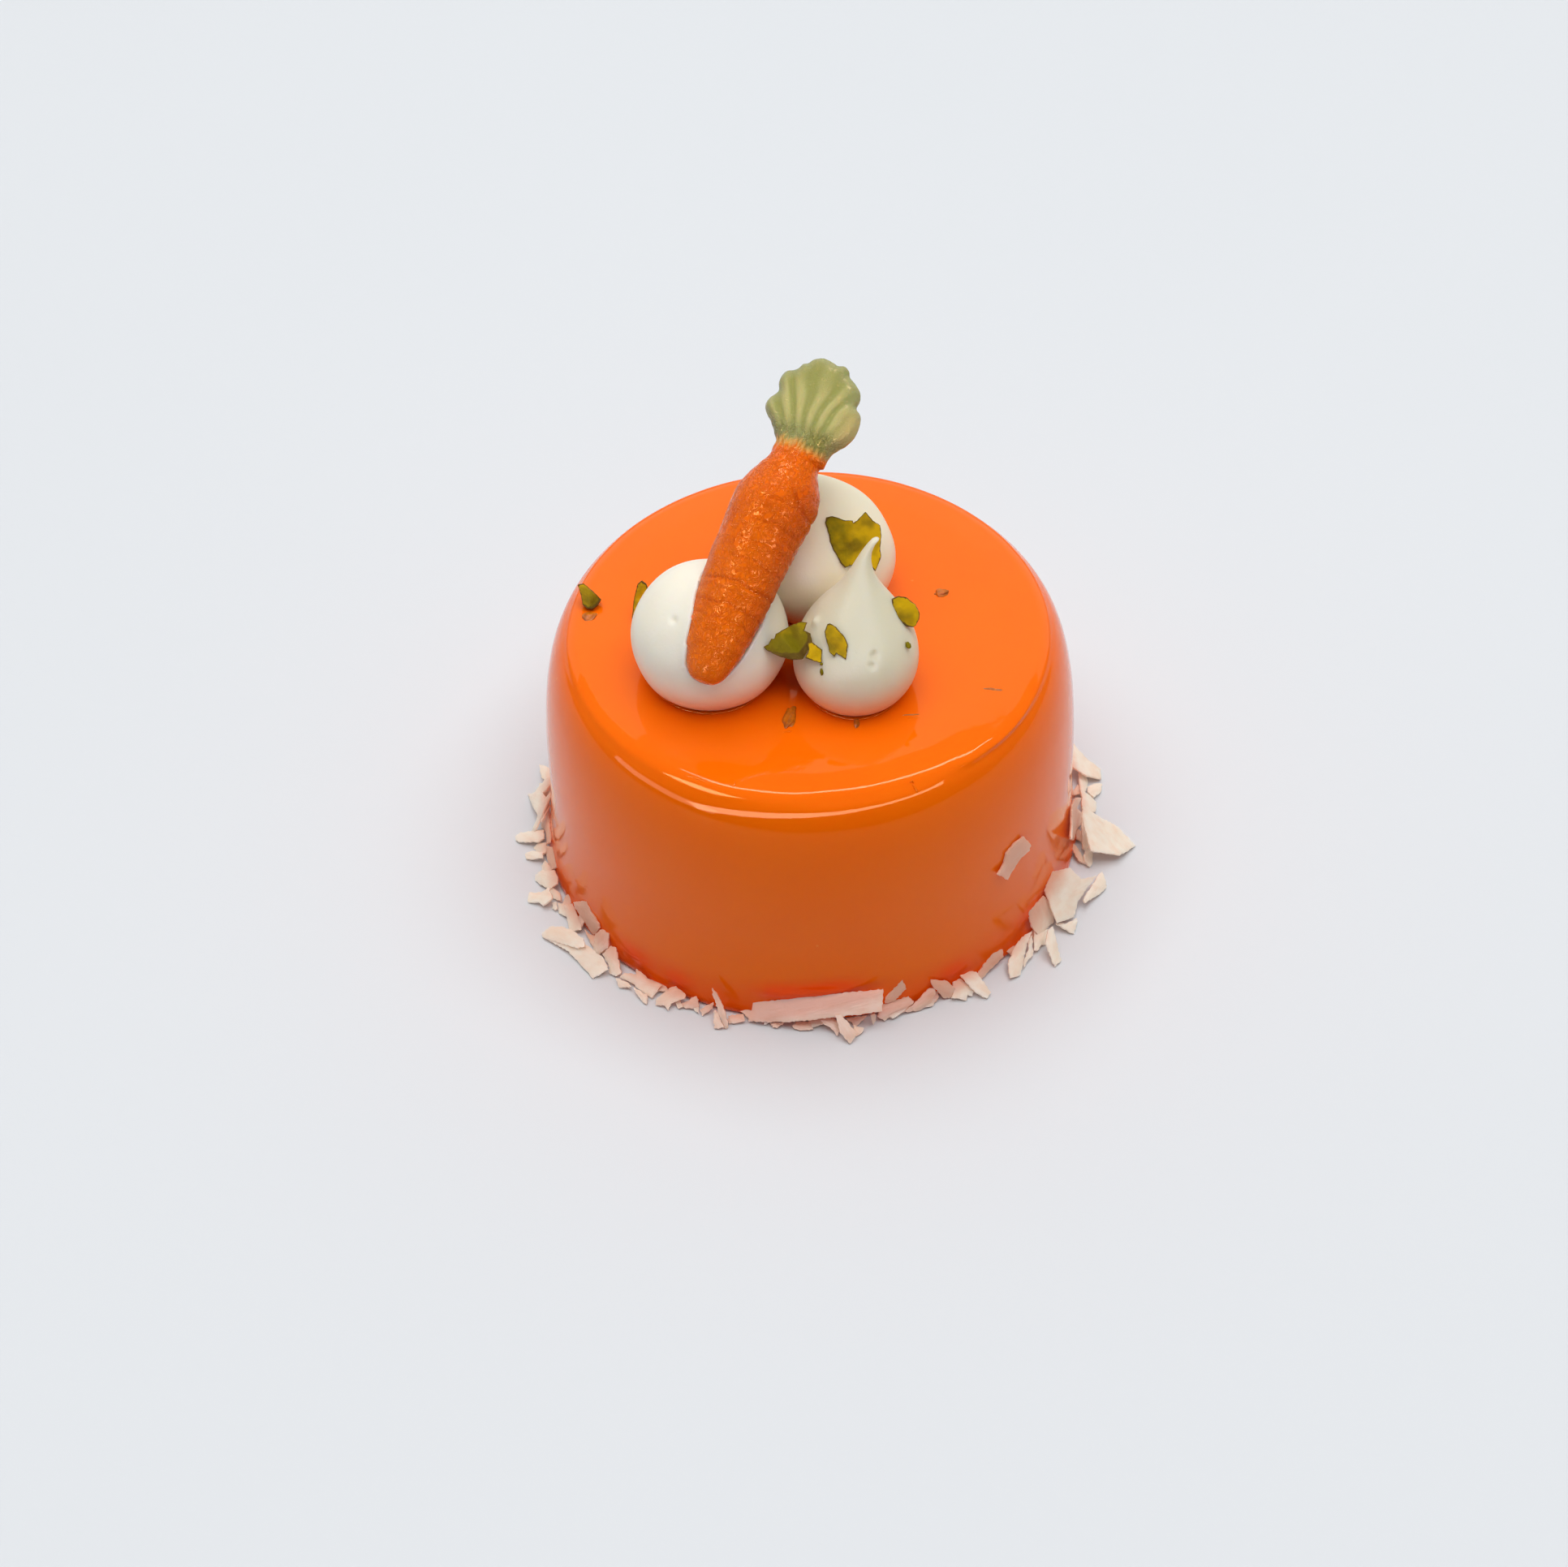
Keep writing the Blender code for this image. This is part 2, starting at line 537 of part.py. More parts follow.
def make_toppings(materials):
    """Creams, carrot and pistachio pieces, each pressed into the one below with a small gap."""
    creams = {name: make_kiss(name, material=materials["cream"], **sizes) for name, sizes in KISSES.items()}
    make_carrot(materials["carrot"])
    clearance = GAP / MM
    carrot_cutter = make_root("carrot_cutter", ring_depth=0, margin=clearance)
    place_carrot(carrot_cutter)
    cutters = {"carrot": carrot_cutter}
    for name in ("cream_left", "cream_right"):
        cutters[name] = make_kiss(f"{name}_cutter", margin=clearance, **KISSES[name])
    for name, sizes in PISTACHIOS.items():
        make_pistachio(name, material=materials["pistachio"], **sizes)
        cutters[name] = make_pistachio(f"{name}_cutter", margin=1.6 * clearance, **sizes)
    for cutter in cutters.values():
        hide_cutter(cutter)
    cut(creams["cream_left"], cutters["carrot"], cutters["pistachio_middle"], cutters["pistachio_left"])
    cut(
        creams["cream_right"], cutters["cream_left"], cutters["pistachio_middle"],
        cutters["pistachio_sliver"], cutters["pistachio_front"], cutters["pistachio_right"],
    )
    cut(
        creams["cream_back"], cutters["cream_left"], cutters["cream_right"], cutters["carrot"],
        cutters["pistachio_back"],
    )


def main():
    """Build the whole cake in an empty scene."""
    for thing in list(bpy.data.objects):
        bpy.data.objects.remove(thing)
    materials = {name: make_material(name) for name in COLOURS}
    make_cake(materials["glaze"])
    make_toppings(materials)


main()
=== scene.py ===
"""Mini mousse cake: glaze, coconut, creams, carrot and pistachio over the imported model, on a pale stage.

The origin is at the centre of the cake's base, with +Z up and the front towards -Y. Sizes and places here
are in millimetres and degrees unless a comment says otherwise; the finished objects are in metres.
"""

import math
import random

import bmesh
import bpy
from mathutils import Matrix, Vector, noise
from mathutils.geometry import delaunay_2d_cdt


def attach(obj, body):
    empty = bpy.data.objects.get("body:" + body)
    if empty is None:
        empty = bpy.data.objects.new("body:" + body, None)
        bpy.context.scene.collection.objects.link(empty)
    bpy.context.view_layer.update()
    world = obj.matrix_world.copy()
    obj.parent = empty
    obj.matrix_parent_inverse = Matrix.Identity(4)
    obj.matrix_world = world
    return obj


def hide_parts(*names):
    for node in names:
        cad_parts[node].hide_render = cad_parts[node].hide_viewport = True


bl_info = {
    "name": "Mini Mousse Cake",
    "version": (1, 0, 0),
    "blender": (4, 5, 0),
    "location": "3D View > Sidebar > Mousse Cake",
    "description": "Builds a glazed mini mousse cake with coconut, cream kisses, a carrot and pistachio",
    "category": "Add Mesh",
}

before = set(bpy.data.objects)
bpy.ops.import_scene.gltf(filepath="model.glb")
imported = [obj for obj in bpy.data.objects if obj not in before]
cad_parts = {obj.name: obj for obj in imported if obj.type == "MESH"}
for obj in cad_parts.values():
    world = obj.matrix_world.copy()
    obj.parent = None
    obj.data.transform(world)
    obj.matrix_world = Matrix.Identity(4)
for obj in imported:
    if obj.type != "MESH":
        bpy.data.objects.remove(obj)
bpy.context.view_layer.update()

MM = 0.001

# Glazed body, millimetres
CAKE_HEIGHT = 37.0
WALL_RADIUS = 36.0
BASE_RADIUS = 37.0
FLARE_HEIGHT = 15.0  # the wall flares out below this height
FLAT_RADIUS = 30.0
EDGE_RISE = 15.0  # handles of the edge's curve, up the wall and out along the top
EDGE_RUN = 4.0
BASE_BEVEL = 0.3
CAKE_SEGMENTS = 320
EDGE_STEPS = 110
FLARE_STEPS = 24
FLAT_STEPS = 24
SHOULDER = (26.0, 24)  # closer rings from this radius out to the edge
CROWN = (26.5, 31.5, 0.14)  # the top starts to fall at the first radius, up to the second, by the third
CROWN_HEIGHTS = (24.0, 35.0)  # the fall fades out down the wall
UNEVENNESS = ((0.07, 0.07), (0.27, 0.012))  # scale and height of the glaze's soft waves
LIP_HEIGHT = 30.0  # the edge strays above this height
LIP_BAND = (27.0, 30.3, 31.3, 32.5)  # and between these radii, most between the middle two
LIP_WANDER = 0.05
# How far the start of the rounded edge strays outwards at each bearing
EDGE_STRAY = (
    (-180, 0.3), (-140, 0.25), (-122, 0.15), (-112, 0.15), (-98, 0.0), (-83.5, -0.35), (-68, -0.28),
    (-57, 0.05), (-48, 0.6), (-40, 0.85), (-10, 0.3), (180, 0.3),
)
# Glaze that has gathered over flakes at the foot: bearing, height on the wall, reach in degrees, thickness
GLAZE_POOLS = (
    (-98.0, 5.0, 2.6, 0.5), (-91.0, 5.5, 3.4, 0.6), (-85.0, 5.9, 2.6, 0.5), (-131.0, 3.2, 2.2, 0.35),
    (-120.0, 2.9, 1.6, 0.3), (-60.0, 3.4, 1.8, 0.3), (-37.0, 3.8, 2.0, 0.3),
)
POOL_HEIGHT = 12.0  # all of it lies below this height
POOL_SPREAD = (0.5, 1.1)  # how far up and down its swelling and its colour reach
FOOT_SWELLING = (0.22, 1.8)  # thickness and reach of the glaze that has run down to the foot
# Fine strings and blisters of glaze on the top: half thickness, and points along each
GLAZE_STRINGS = (
    (0.16, (-16.37, -26.33, 36.71), (-15.54, -26.62, 36.77), (-14.61, -27.03, 36.80),
     (-13.69, -27.48, 36.81), (-12.76, -28.38, 36.67)),
    (0.12, (-11.63, -28.39, 36.81), (-11.32, -28.54, 36.81), (-11.12, -28.44, 36.84)),
    (0.14, (-10.30, -28.36, 36.89), (-9.89, -28.64, 36.88), (-9.58, -28.10, 36.91), (-9.68, -27.67, 36.92)),
    (0.16, (12.73, -28.61, 36.58), (13.22, -29.18, 36.12), (13.42, -29.46, 35.81)),
    (0.14, (12.42, -28.43, 36.70), (12.74, -28.19, 36.73), (12.93, -28.49, 36.59)),
    (0.16, (-3.46, -19.39, 37.00), (-2.94, -19.34, 37.00), (-2.31, -19.28, 37.00)),
    (0.1, (12.41, -17.53, 37.00), (13.15, -17.26, 37.00), (14.39, -17.44, 37.00)),
    (0.2, (22.28, -22.15, 36.53), (22.93, -21.56, 36.49), (23.69, -21.03, 36.38)),
)
STRING_SIDES = 12
STRING_STEPS = 6
STRING_FLATNESS = 0.7
# The thin bead of glaze round the foot of each cream
BEAD_POINTS = 72
BEAD_GAP = 0.3
BEAD_WAVES = (3, 0.1)  # how many, and how far out
BEAD_HEIGHT = 0.04
BEAD_THICKNESS = 0.24
# Where the glaze's colours fade: up from the foot, and out from the narrow gap between the creams, where a
# darker red is painted shade
GLAZE_FOOT = (1.0, 8.0)
CREVICE_SHADE_CENTRE = (-2.3, -9.0, CAKE_HEIGHT)
CREVICE_SHADE_REACH = (1.0, 5.5)

# Cream kisses: centre, largest radius and its height, full height, how far the flank leans and the tip
# hooks over, and how pointed they are
CREAM_FLOOR = CAKE_HEIGHT + 0.05
CREAM_SEGMENTS = 176
FOOT_SHARE = 0.755
TIP_RADIUS = 0.45
BELLY_STEPS = 26
DOME_STEPS = 64
KISSES = {
    "cream_left": dict(centre=(-12.7, -7.6), radius=10.3, belly=6.2, height=15.9, lean=(0, 0), point=0.05),
    "cream_right": dict(
        centre=(6.0, -10.8), radius=8.1, belly=5.0, height=21.0, lean=(1.3, 4.6), hook=1.6, point=1.0),
    "cream_back": dict(centre=(1.4, 7.8), radius=10.6, belly=6.2, height=17.4, lean=(-2.2, 1.0), point=0.3),
}
HOOK_SHARPNESS = 7  # the hook of a tip is confined to its very end
CREAM_WAVES = (0.16, 0.3)  # scale and height of the cream's unevenness
# Where the creams' colours change: to the right, painted shade; behind, painted light; and up from the
# glaze, a painted orange bounce of light
CREAM_SHADE_RIGHT = (-7.0, 1.0)
CREAM_LIGHT_BEHIND = (-5.0, 0.0)
CREAM_BOUNCE_HEIGHTS = (CAKE_HEIGHT + 0.3, CAKE_HEIGHT + 6.5)
# Small pits left by air in the cream, and one blister: place, radius, depth
PITS = (
    ((-17.0, -12.4, 50.5), 0.45, 0.4),
    ((0.9, -11.0, 48.4), 0.55, -0.4),
    ((8.3, -15.9, 46.9), 0.5, 0.32),
    ((8.1, -16.8, 46.0), 0.45, 0.25),
)

# Carrot, millimetres and degrees
CARROT_TIP = (-13.55, -18.9, 45.8)
CARROT_TILT = 30.0
CARROT_HEADING = 63.9
ROOT_LENGTH = 33.0
ROOT_RADIUS = 5.65
ROOT_BELLY = 23.5  # where it is widest
ROOT_BLUNTNESS = 0.28
ROOT_FLATNESS = 0.9
NECK_RADIUS = 3.4
RING_SPACING = 2.9
RING_DEPTH = 0.05
RING_FADE = 4.0  # distance from the tip at which the rings are full
# Fine grooves across the root: distance from the tip, depth, and how far they reach to the left, 0 to 1
RINGS = (
    (4.4, 0.04, 0.3), (6.1, 0.06, 0.5), (7.9, 0.09, 0.9), (9.8, 0.12, 0.8), (11.4, 0.05, 0.1),
    (12.8, 0.15, 0.7), (14.4, 0.05, 0.0), (15.9, 0.1, 0.3), (17.2, 0.05, -0.1), (18.4, 0.09, 0.2),
    (20.0, 0.06, -0.2), (21.4, 0.11, 0.1), (23.0, 0.06, -0.2), (24.6, 0.08, 0.0),
)
GROOVE_WIDTH = 0.26
GROOVE_BOW = 0.5  # how far a groove bows towards the tip at the root's sides
GROOVE_FADE = (0.35, 0.25)
# A slanting fold near the neck: a point on its line, slope, width, its middle and reach across, depth
FOLD_POINT = (4.0, 25.5)
FOLD_SLOPE = 1.1
FOLD_WIDTH = 0.5
FOLD_MIDDLE = 4.4
FOLD_REACH = 1.4
FOLD_DEPTH = 0.18
# How much wider the root is than its plain shape: distance from the tip, left side, right side
ROOT_SIDES = (
    (0, 1.0, 1.0), (2.6, 1.05, 1.0), (5.1, 1.1, 1.0), (7.2, 1.13, 1.0), (9.3, 1.13, 1.0), (11.7, 1.1, 0.98),
    (13.9, 1.08, 0.97), (16, 1.045, 0.955), (19.4, 0.99, 0.95), (22, 0.97, 0.975), (24, 0.95, 1.01),
    (26, 0.98, 1.09), (27.7, 0.95, 1.125), (29.2, 0.88, 1.08), (30.2, 0.8, 1.04), (31, 0.78, 1.06),
    (32, 0.84, 1.2), (33, 0.82, 1.28), (38, 0.82, 1.28),
)
ROOT_END = 38.0  # where the root has thinned out inside the leaf
LEAF_START = 31.0
LEAF_THICKNESS = 3.2
LEAF_THINNING = 0.3  # share by which it thins from the first to the second distance
LEAF_TAPER = (LEAF_START + 2, LEAF_START + 13)
# Outline of the leaf: across, and distance from the root's tip
LEAF_OUTLINE = (
    (-2.4, 30.4), (-2.6, 31.8), (-2.9, 33), (-3.63, 34.08), (-4.55, 35.27), (-5.51, 36.14),
    (-6.12, 37.12), (-5.92, 38.31), (-5.12, 39.39), (-5.52, 40.45), (-5.57, 41.5), (-5.12, 42.4),
    (-4.37, 42.7), (-3.72, 43.2), (-3.42, 43.9), (-2.72, 44.2), (-2.32, 44.8), (-1.12, 45.4), (0.6, 45.1),
    (1.1, 44.9), (2.1, 45.1), (2.9, 44.55), (3.2, 43.9), (4.25, 43.25), (5.3, 42.3), (5.7, 41.2),
    (5.6, 40.1), (6.4, 39.5), (6.8, 38.52), (6.9, 36.9), (6.49, 35.55), (5.72, 34.46), (4.93, 33.54),
    (4.7, 32.3), (4.6, 31.05),
)
LEAF_FOOT = (0.8, 30.0)  # where the ribs spread from
LEAF_ROUNDING = 1.7
LEAF_GRID = 0.4
LEAF_SEED = 7
RIB_SPACING = 13.5  # degrees
RIB_WANDER = 2.6
RIB_START = (3.0, 6.0)  # distances from the leaf's foot over which the flutes rise
FLUTE_DEPTH = 0.17
STREAK_PITCH = 7.4
STREAK_HEIGHT = 0.03
COLLAR = (31.2, 32.4, 34.0, 36.0)  # the streaks are raised from the first to the last of these distances
NECK_FLATTENING = 0.5
NECK_SPAN = (LEAF_START - 2, LEAF_START + 5)
NECK_STEPS = 20
ROOT_SEGMENTS = 120
ROOT_STEPS = 190
ROOT_CROWDING = 1.6  # rings lie closer together near the tip
CARROT_VOXEL = 0.17
SOFTEN_ROUNDS = 7
ROOT_SWELL = 0.12
WRINKLE_DEPTH = 0.09
PRESS_LIP = 0.22  # height and reach of the lip of cream beside the carrot

# Pistachio pieces: centre, bearing and elevation of the face, thickness, side and width of the skin, how
# golden the flesh is, and the outline in the face's plane
PISTACHIOS = {
    "pistachio_back": dict(
        centre=(6.1, 2.5, 49.8), bearing=-75, elevation=50, thickness=1.3, skin=165, ripeness=0.1,
        outline=((-2.8, 3.7), (-2, 3.7), (-0.4, 2.8), (0.5, 2.6), (0.5, 2.3), (1.1, 2.5), (2.4, 3.4),
                 (3.1, 2.1), (3.9, 1.3), (3.8, 0), (3.3, -1.5), (3.1, -2.8), (2, -4.4), (1.6, -3.7),
                 (0.4, -2.9), (-1.8, -3.2), (-2.3, -2.4), (-2.4, -1.9), (-2.9, -0.6), (-3.1, 0.5),
                 (-3, 1.2), (-3.1, 3.1)),
    ),
    "pistachio_middle": dict(
        centre=(-2.9, -13.4, 47.2), bearing=-90, elevation=50, thickness=1.8, skin=-62, skin_width=2.6,
        ripeness=-0.3,
        outline=((-2.8, -0.6), (-2.2, -0.3), (-1.8, 0.4), (-1.4, 0.4), (-1.2, 1), (0.8, 2.1), (2, 2.5),
                 (2.8, 2.4), (2.4, 1.4), (3.2, 1), (3.4, 0), (3.3, -0.4), (2.2, -2.2), (0.8, -2.3),
                 (-0.8, -1.8), (-2.5, -0.9)),
    ),
    "pistachio_sliver": dict(
        centre=(0.9, -14.3, 47.0), bearing=-85, elevation=50, thickness=0.9, skin=170, ripeness=0.5,
        outline=((-1.4, -1.2), (-0.9, -0.3), (-1, 0.6), (-0.5, 0.8), (0.8, -0.4), (0.6, -2), (0.3, -2)),
    ),
    "pistachio_front": dict(
        centre=(3.7, -14.3, 48.4), bearing=-98, elevation=45, thickness=1.2, skin=185, ripeness=0.3,
        outline=((-1.1, 1.9), (-1.4, 1.8), (-1.7, 0.8), (-1.6, 0.4), (-0.9, -1.7), (-0.2, -2.3),
                 (0, -1.8), (1.3, -2.6), (1.4, -0.6), (0.9, 0.3), (-0.3, 1.5)),
    ),
    "pistachio_right": dict(
        centre=(12.8, -9.7, 48.3), bearing=-62, elevation=42, thickness=1.4, skin=60, ripeness=0.5,
        outline=((-1.5, 2.4), (-0.6, 2.5), (0.3, 2), (1.2, 0.7), (1.3, -0.6), (1, -1.2), (0.3, -1.8),
                 (-0.1, -1.9), (-0.9, -1.4), (-1.7, 0), (-1.8, 1.8)),
    ),
    "pistachio_rim": dict(
        centre=(-29.0, 5.4, 38.2), bearing=-88, elevation=48, thickness=1.6, skin=-60, skin_width=0.8,
        ripeness=0.1,
        outline=((-0.7, 1.8), (0.5, 0.7), (1.5, -0.4), (1, -1.2), (0.3, -1.7), (-0.5, -1.5), (-1, -1),
                 (-1.1, 0), (-1.5, 1.7)),
    ),
    "pistachio_left": dict(
        centre=(-22.2, 2.3, 38.8), bearing=-100, elevation=25, thickness=1.0, skin=150, ripeness=0.3,
        outline=((-0.4, 3.4), (0.1, 3.9), (0.7, 3.5), (1.2, 2.4), (1.0, -1.9), (-1, -2), (-0.8, 1.6)),
    ),
}

# Coconut flakes that show: bearing, distance and height of the centre, how far the face is swung from that
# bearing and how far it leans back, corners in the face's plane
FLAKES = (
    (11, 40.6, 2.2, -3, 62, ((4.4, 1.6), (1.6, -0.2), (-0.2, -2.4), (-2.2, -2), (-2.4, 0.6),
        (-1.2, 2.6), (1.6, 2.2))),
    (7.5, 38.9, 0.8, -5, 60, ((3.6, 0.4), (2.8, -0.6), (-0.2, -0.8), (-3.6, 0.6), (-2.4, 0.8),
        (0.4, 0.6))),
    (5, 40.3, 0.7, -2, 74, ((0.4, 1), (1.2, -0.4), (1.2, -1.2), (-0.4, -0.8), (-1.6, 0.4), (-0.8, 1.2))),
    (-9, 36.9, 5.1, -3, 6, ((2, 1.8), (5, -1.2), (1.8, 0), (4.8, -4.2), (3.6, -4.8), (0, -2.6),
        (-1.6, -2.8), (-8.4, 4.8), (-4, 4), (-3.2, 4.8))),
    (1, 39, 0.9, -3, 60, ((1.8, 1.2), (1.6, 0), (0.8, -1.2), (-1.2, -1), (-1.8, 0), (-1.2, 1.2))),
    (-10, 41.5, 2.9, -4, 58, ((2.2, 4.6), (2.8, -1.6), (1.2, -4.8), (-2, -2.8), (-4, 1.6), (0.4, 4.2))),
    (-8.5, 38.5, 0.9, -4, 60, ((3.6, 1.2), (2.6, 0.6), (-0.8, -0.8), (-1.6, -1.2), (-2.4, -0.4),
        (-2.2, 0.2), (0.6, 0.8))),
    (-13.5, 39.4, 0.8, -2, 60, ((1.8, 0.4), (1.8, 0), (0.4, -0.6), (-1, -0.8), (-1.6, -0.6),
        (-1.4, 0.4), (-0.4, 0.8))),
    (-27, 39.5, 3.2, -6, 42, ((2.6, 2.4), (3.2, -0.2), (5.6, -1.6), (0.6, -1.8), (-1.8, -2.8),
        (-5, -1.2), (-3.2, 3.2), (-0.2, 4))),
    (-21.5, 41.7, 1, -5, 60, ((2, 0.6), (2.8, 0.4), (1.4, -1.2), (0.4, -1.2), (-3.6, 0.4), (-3.2, 0.8))),
    (-35, 37.8, 2.6, -3, 26, ((1.6, 2.4), (2.8, -0.2), (1.6, -2.2), (-2, -1.6), (-2.4, 0), (-1.8, 2.2))),
    (-32.5, 41.1, 0.9, -1, 66, ((-1, 1.6), (0.4, 0.4), (2, -0.2), (1.4, -0.6), (-0.4, -1.2),
        (-0.6, -0.8))),
    (-39.5, 41.8, 1.8, -2, 50, ((0.8, 2.2), (2, 2.2), (1, 0.4), (-0.2, -2), (-1.6, -2), (-0.6, 1.2))),
    (-38.5, 39, 0.8, -2, 60, ((0.4, 1.6), (0, 0.8), (2.2, 0.2), (0, -1), (-0.4, -0.6), (-1.6, -0.8),
        (-2, -0.4), (-0.8, 0.6))),
    (-45, 39, 1.5, -4, 60, ((-2.2, 0), (0, 1.2), (2, 1.8), (3.6, 1.6), (2.2, 0.8), (-1.6, -2.2),
        (-3.2, -1.8))),
    (-43, 39.4, 1, -3, 60, ((1, 1.4), (2.2, 1.6), (0.4, -0.6), (-0.6, -0.6), (-2.2, -1.2), (-1, -0.2),
        (0.6, 0.6))),
    (-50.5, 37.5, 1.6, -3, 32, ((-2.8, -0.2), (0.6, 1.2), (2.2, 1), (2, 0), (0, -0.6), (-1.2, -0.8),
        (-2.2, -1.2))),
    (-56.5, 39.1, 1.5, 0, 60, ((-1.4, 2.2), (0.2, 2), (0.8, 1.6), (1.2, -1.8), (0.2, -2.2), (-0.8, -0.6))),
    (-59.5, 38.6, 1.1, 0, 60, ((-0.6, 1.6), (0.6, 1.6), (1.6, -0.6), (1, -1.2), (0.4, -0.8), (0, -1.4),
        (-1.8, -0.2), (-1.2, 0.2))),
    (-63, 37.6, 2.2, -1, 20, ((-1.6, 2), (0.6, 0.8), (2.2, -1.8), (1, -2), (-0.2, -1.6), (-1.6, 1.2))),
    (-68, 37.6, 1.2, -4, 32, ((-2.8, -0.8), (-0.6, 0.2), (1.2, 1.4), (2, 1.2), (2, 0.6), (1.2, -0.6),
        (-0.6, -1.2))),
    (-65, 37.6, 0.8, -1, 44, ((-0.8, -0.4), (-0.2, 0.4), (0.6, 0.8), (0.6, 0), (-0.2, -0.6))),
    (-74, 37.7, 1.4, -3, 46, ((-2.4, -0.6), (-1.4, 0.8), (2.2, 1.2), (2.8, 0.4), (2.4, 0), (-1.6, -1.4))),
    (-73.5, 37, 3.5, -2, 12, ((-1.2, -0.2), (1.2, 2), (1.6, 0.4), (-0.2, -1.2), (-1.4, -1.2))),
    (-90.5, 37.8, 3.7, -11, 38, ((-8.2, -0.6), (-0.6, 1.6), (8.8, 3.6), (9, 0.6), (-3.2, -2.4),
        (-8.6, -3.2))),
    (-98, 38.3, 0.5, 0, 62, ((-0.8, 0.2), (1, 0.4), (0.2, -0.4), (-0.4, -0.4))),
    (-93, 38.4, 0.6, 0, 62, ((-1.2, 0), (-0.6, 0.6), (1.2, 0.6), (1.6, -0.4), (0, -0.6), (-0.8, -0.4))),
    (-87, 38.8, 1.1, 1, 55, ((-1.4, 0.8), (0.2, 1), (0.8, 0.6), (1, -0.8), (0.6, -1.4), (-0.2, -0.2),
        (-1, 0.2))),
    (-84.5, 40.3, 2, 1, 40, ((-1.2, 2), (-0.4, 2), (1.4, -0.6), (1.2, -1.2), (0.4, -2), (-0.8, -0.4))),
    (-82, 38.5, 1.3, 0, 60, ((-1.2, 0.4), (1.6, 0.4), (0, -0.8), (-1, 0))),
    (-82, 39.7, 0.7, -1, 66, ((-0.6, 0.8), (0.8, 0.2), (0.4, -0.4), (-0.4, -0.8))),
    (-78.5, 38.6, 1.4, 0, 20, ((-0.4, 0.6), (0.2, 0.6), (0.2, -0.4), (-0.2, -1))),
    (-109, 39, 2.8, 2, 25, ((-1.4, 2.8), (-0.8, 2.2), (0.6, -0.2), (1.2, -1.8), (1.2, -2.6),
        (0.8, -2.6), (-0.4, -0.2), (-1.2, 1.6))),
    (-109.5, 39.6, 1.1, 2, 50, ((-0.6, 1.2), (0, 1), (1.2, -0.8), (0, -1.2), (-0.4, -0.2))),
    (-112.5, 38.3, 0.9, 0, 60, ((-0.8, -0.2), (0.6, 1.2), (0.8, 0.4), (-0.2, -1))),
    (-106, 38.5, 0.8, 0, 60, ((-1.2, 0.2), (0.8, 0.8), (1.2, 0), (0, -0.6), (-0.8, -0.8))),
    (171, 38.8, 0.8, 2, 60, ((-1.2, -0.8), (-0.8, 0.2), (1, 0.8), (1.2, 0.4), (-0.2, -0.6))),
    (-178, 37.6, 1.9, 6, 24, ((-3.4, -1.2), (-3.6, 0), (-2.8, 1.6), (-0.6, 1.2), (5.2, 1.2), (4, -0.4),
        (1.6, -0.4), (-0.4, -1.6))),
    (-175, 39.9, 1, 1, 72, ((-0.8, -2), (-1.2, -1.2), (-0.4, 2.2), (1.2, 2.2), (1.6, 1.4), (0.6, -1.2),
        (0, -2))),
    (-171.5, 38.6, 0.9, 2, 60, ((-0.8, -1), (-1.2, -0.2), (-0.4, 1.2), (1.2, 0.8), (1.2, 0.2),
        (0.2, -0.6))),
    (-170, 39.4, 0.7, 0, 72, ((-0.8, -1.2), (-0.8, -0.2), (0.2, 1.4), (1.2, 1.2), (0.2, -1.2))),
    (-167.5, 37.4, 1.8, 3, 36, ((-2.6, -0.4), (-1.2, 0.8), (2.4, 0.4), (1.8, -0.6), (-0.6, -1))),
    (-165.5, 38.3, 0.8, 3, 60, ((-1.2, -0.6), (-1.8, 0.2), (0, 0.6), (1.2, 0.6), (1.8, 0), (0.2, -0.6))),
    (-162.5, 38.7, 1.1, 3, 60, ((-1.8, -1.2), (-1.8, -0.2), (-0.4, 1.6), (0.8, 1.6), (2, 1.2),
        (1.8, -0.2), (0.2, -1.2), (-1, -1.6))),
    (-158.5, 40.9, 1.1, 2, 66, ((-1.6, -0.8), (-0.6, 0.6), (-0.4, 2), (1.6, 1.6), (1.6, 0), (0.8, -0.2),
        (-0.4, -1.6))),
    (-158.5, 38.5, 0.6, 3, 60, ((-1.6, -0.2), (-1.6, 0.2), (0.4, 0.8), (1.8, 0.4), (0.4, -0.4),
        (-0.8, -0.4))),
    (-155.5, 39.2, 0.5, 1, 60, ((-0.8, 0), (-0.4, 0.6), (0.6, 0.2), (0.6, -0.2), (0, -0.4))),
    (-153.5, 38.5, 0.8, 3, 60, ((-1.6, 0), (-0.4, 0.8), (0, 0.8), (1.6, 0), (-0.2, -0.8))),
    (-150, 37.9, 1.1, 4, 58, ((-2.6, 0.2), (-1.8, 1.2), (1.8, 0.2), (2.4, -0.2), (1.2, -1.6), (-1, -0.6))),
    (-146.5, 37.1, 3.4, 3, 12, ((-3.2, 0), (-0.8, 2), (0.8, 1.2), (2.8, 0.8), (3, 0.2), (2, -1.8),
        (1.2, -2), (-2.8, -0.6))),
    (-146.5, 40.9, 1.4, 4, 58, ((-3, -1.8), (-2.8, -0.4), (-1.4, 0.8), (0.6, 1.6), (2.8, 1.8),
        (3.6, 1.2), (2.8, 0.2), (-2.4, -2))),
    (-141.5, 40.6, 0.8, 6, 66, ((-6, -1.2), (-2.2, 0), (-0.2, 1.6), (3.2, 1.6), (5, 0.8), (4, -1.4),
        (-1.8, -0.6))),
    (-143.5, 38.4, 1.3, 3, 60, ((-2, 0.4), (-0.6, 0.4), (0.4, 1), (1.6, -0.8), (-0.4, -0.2))),
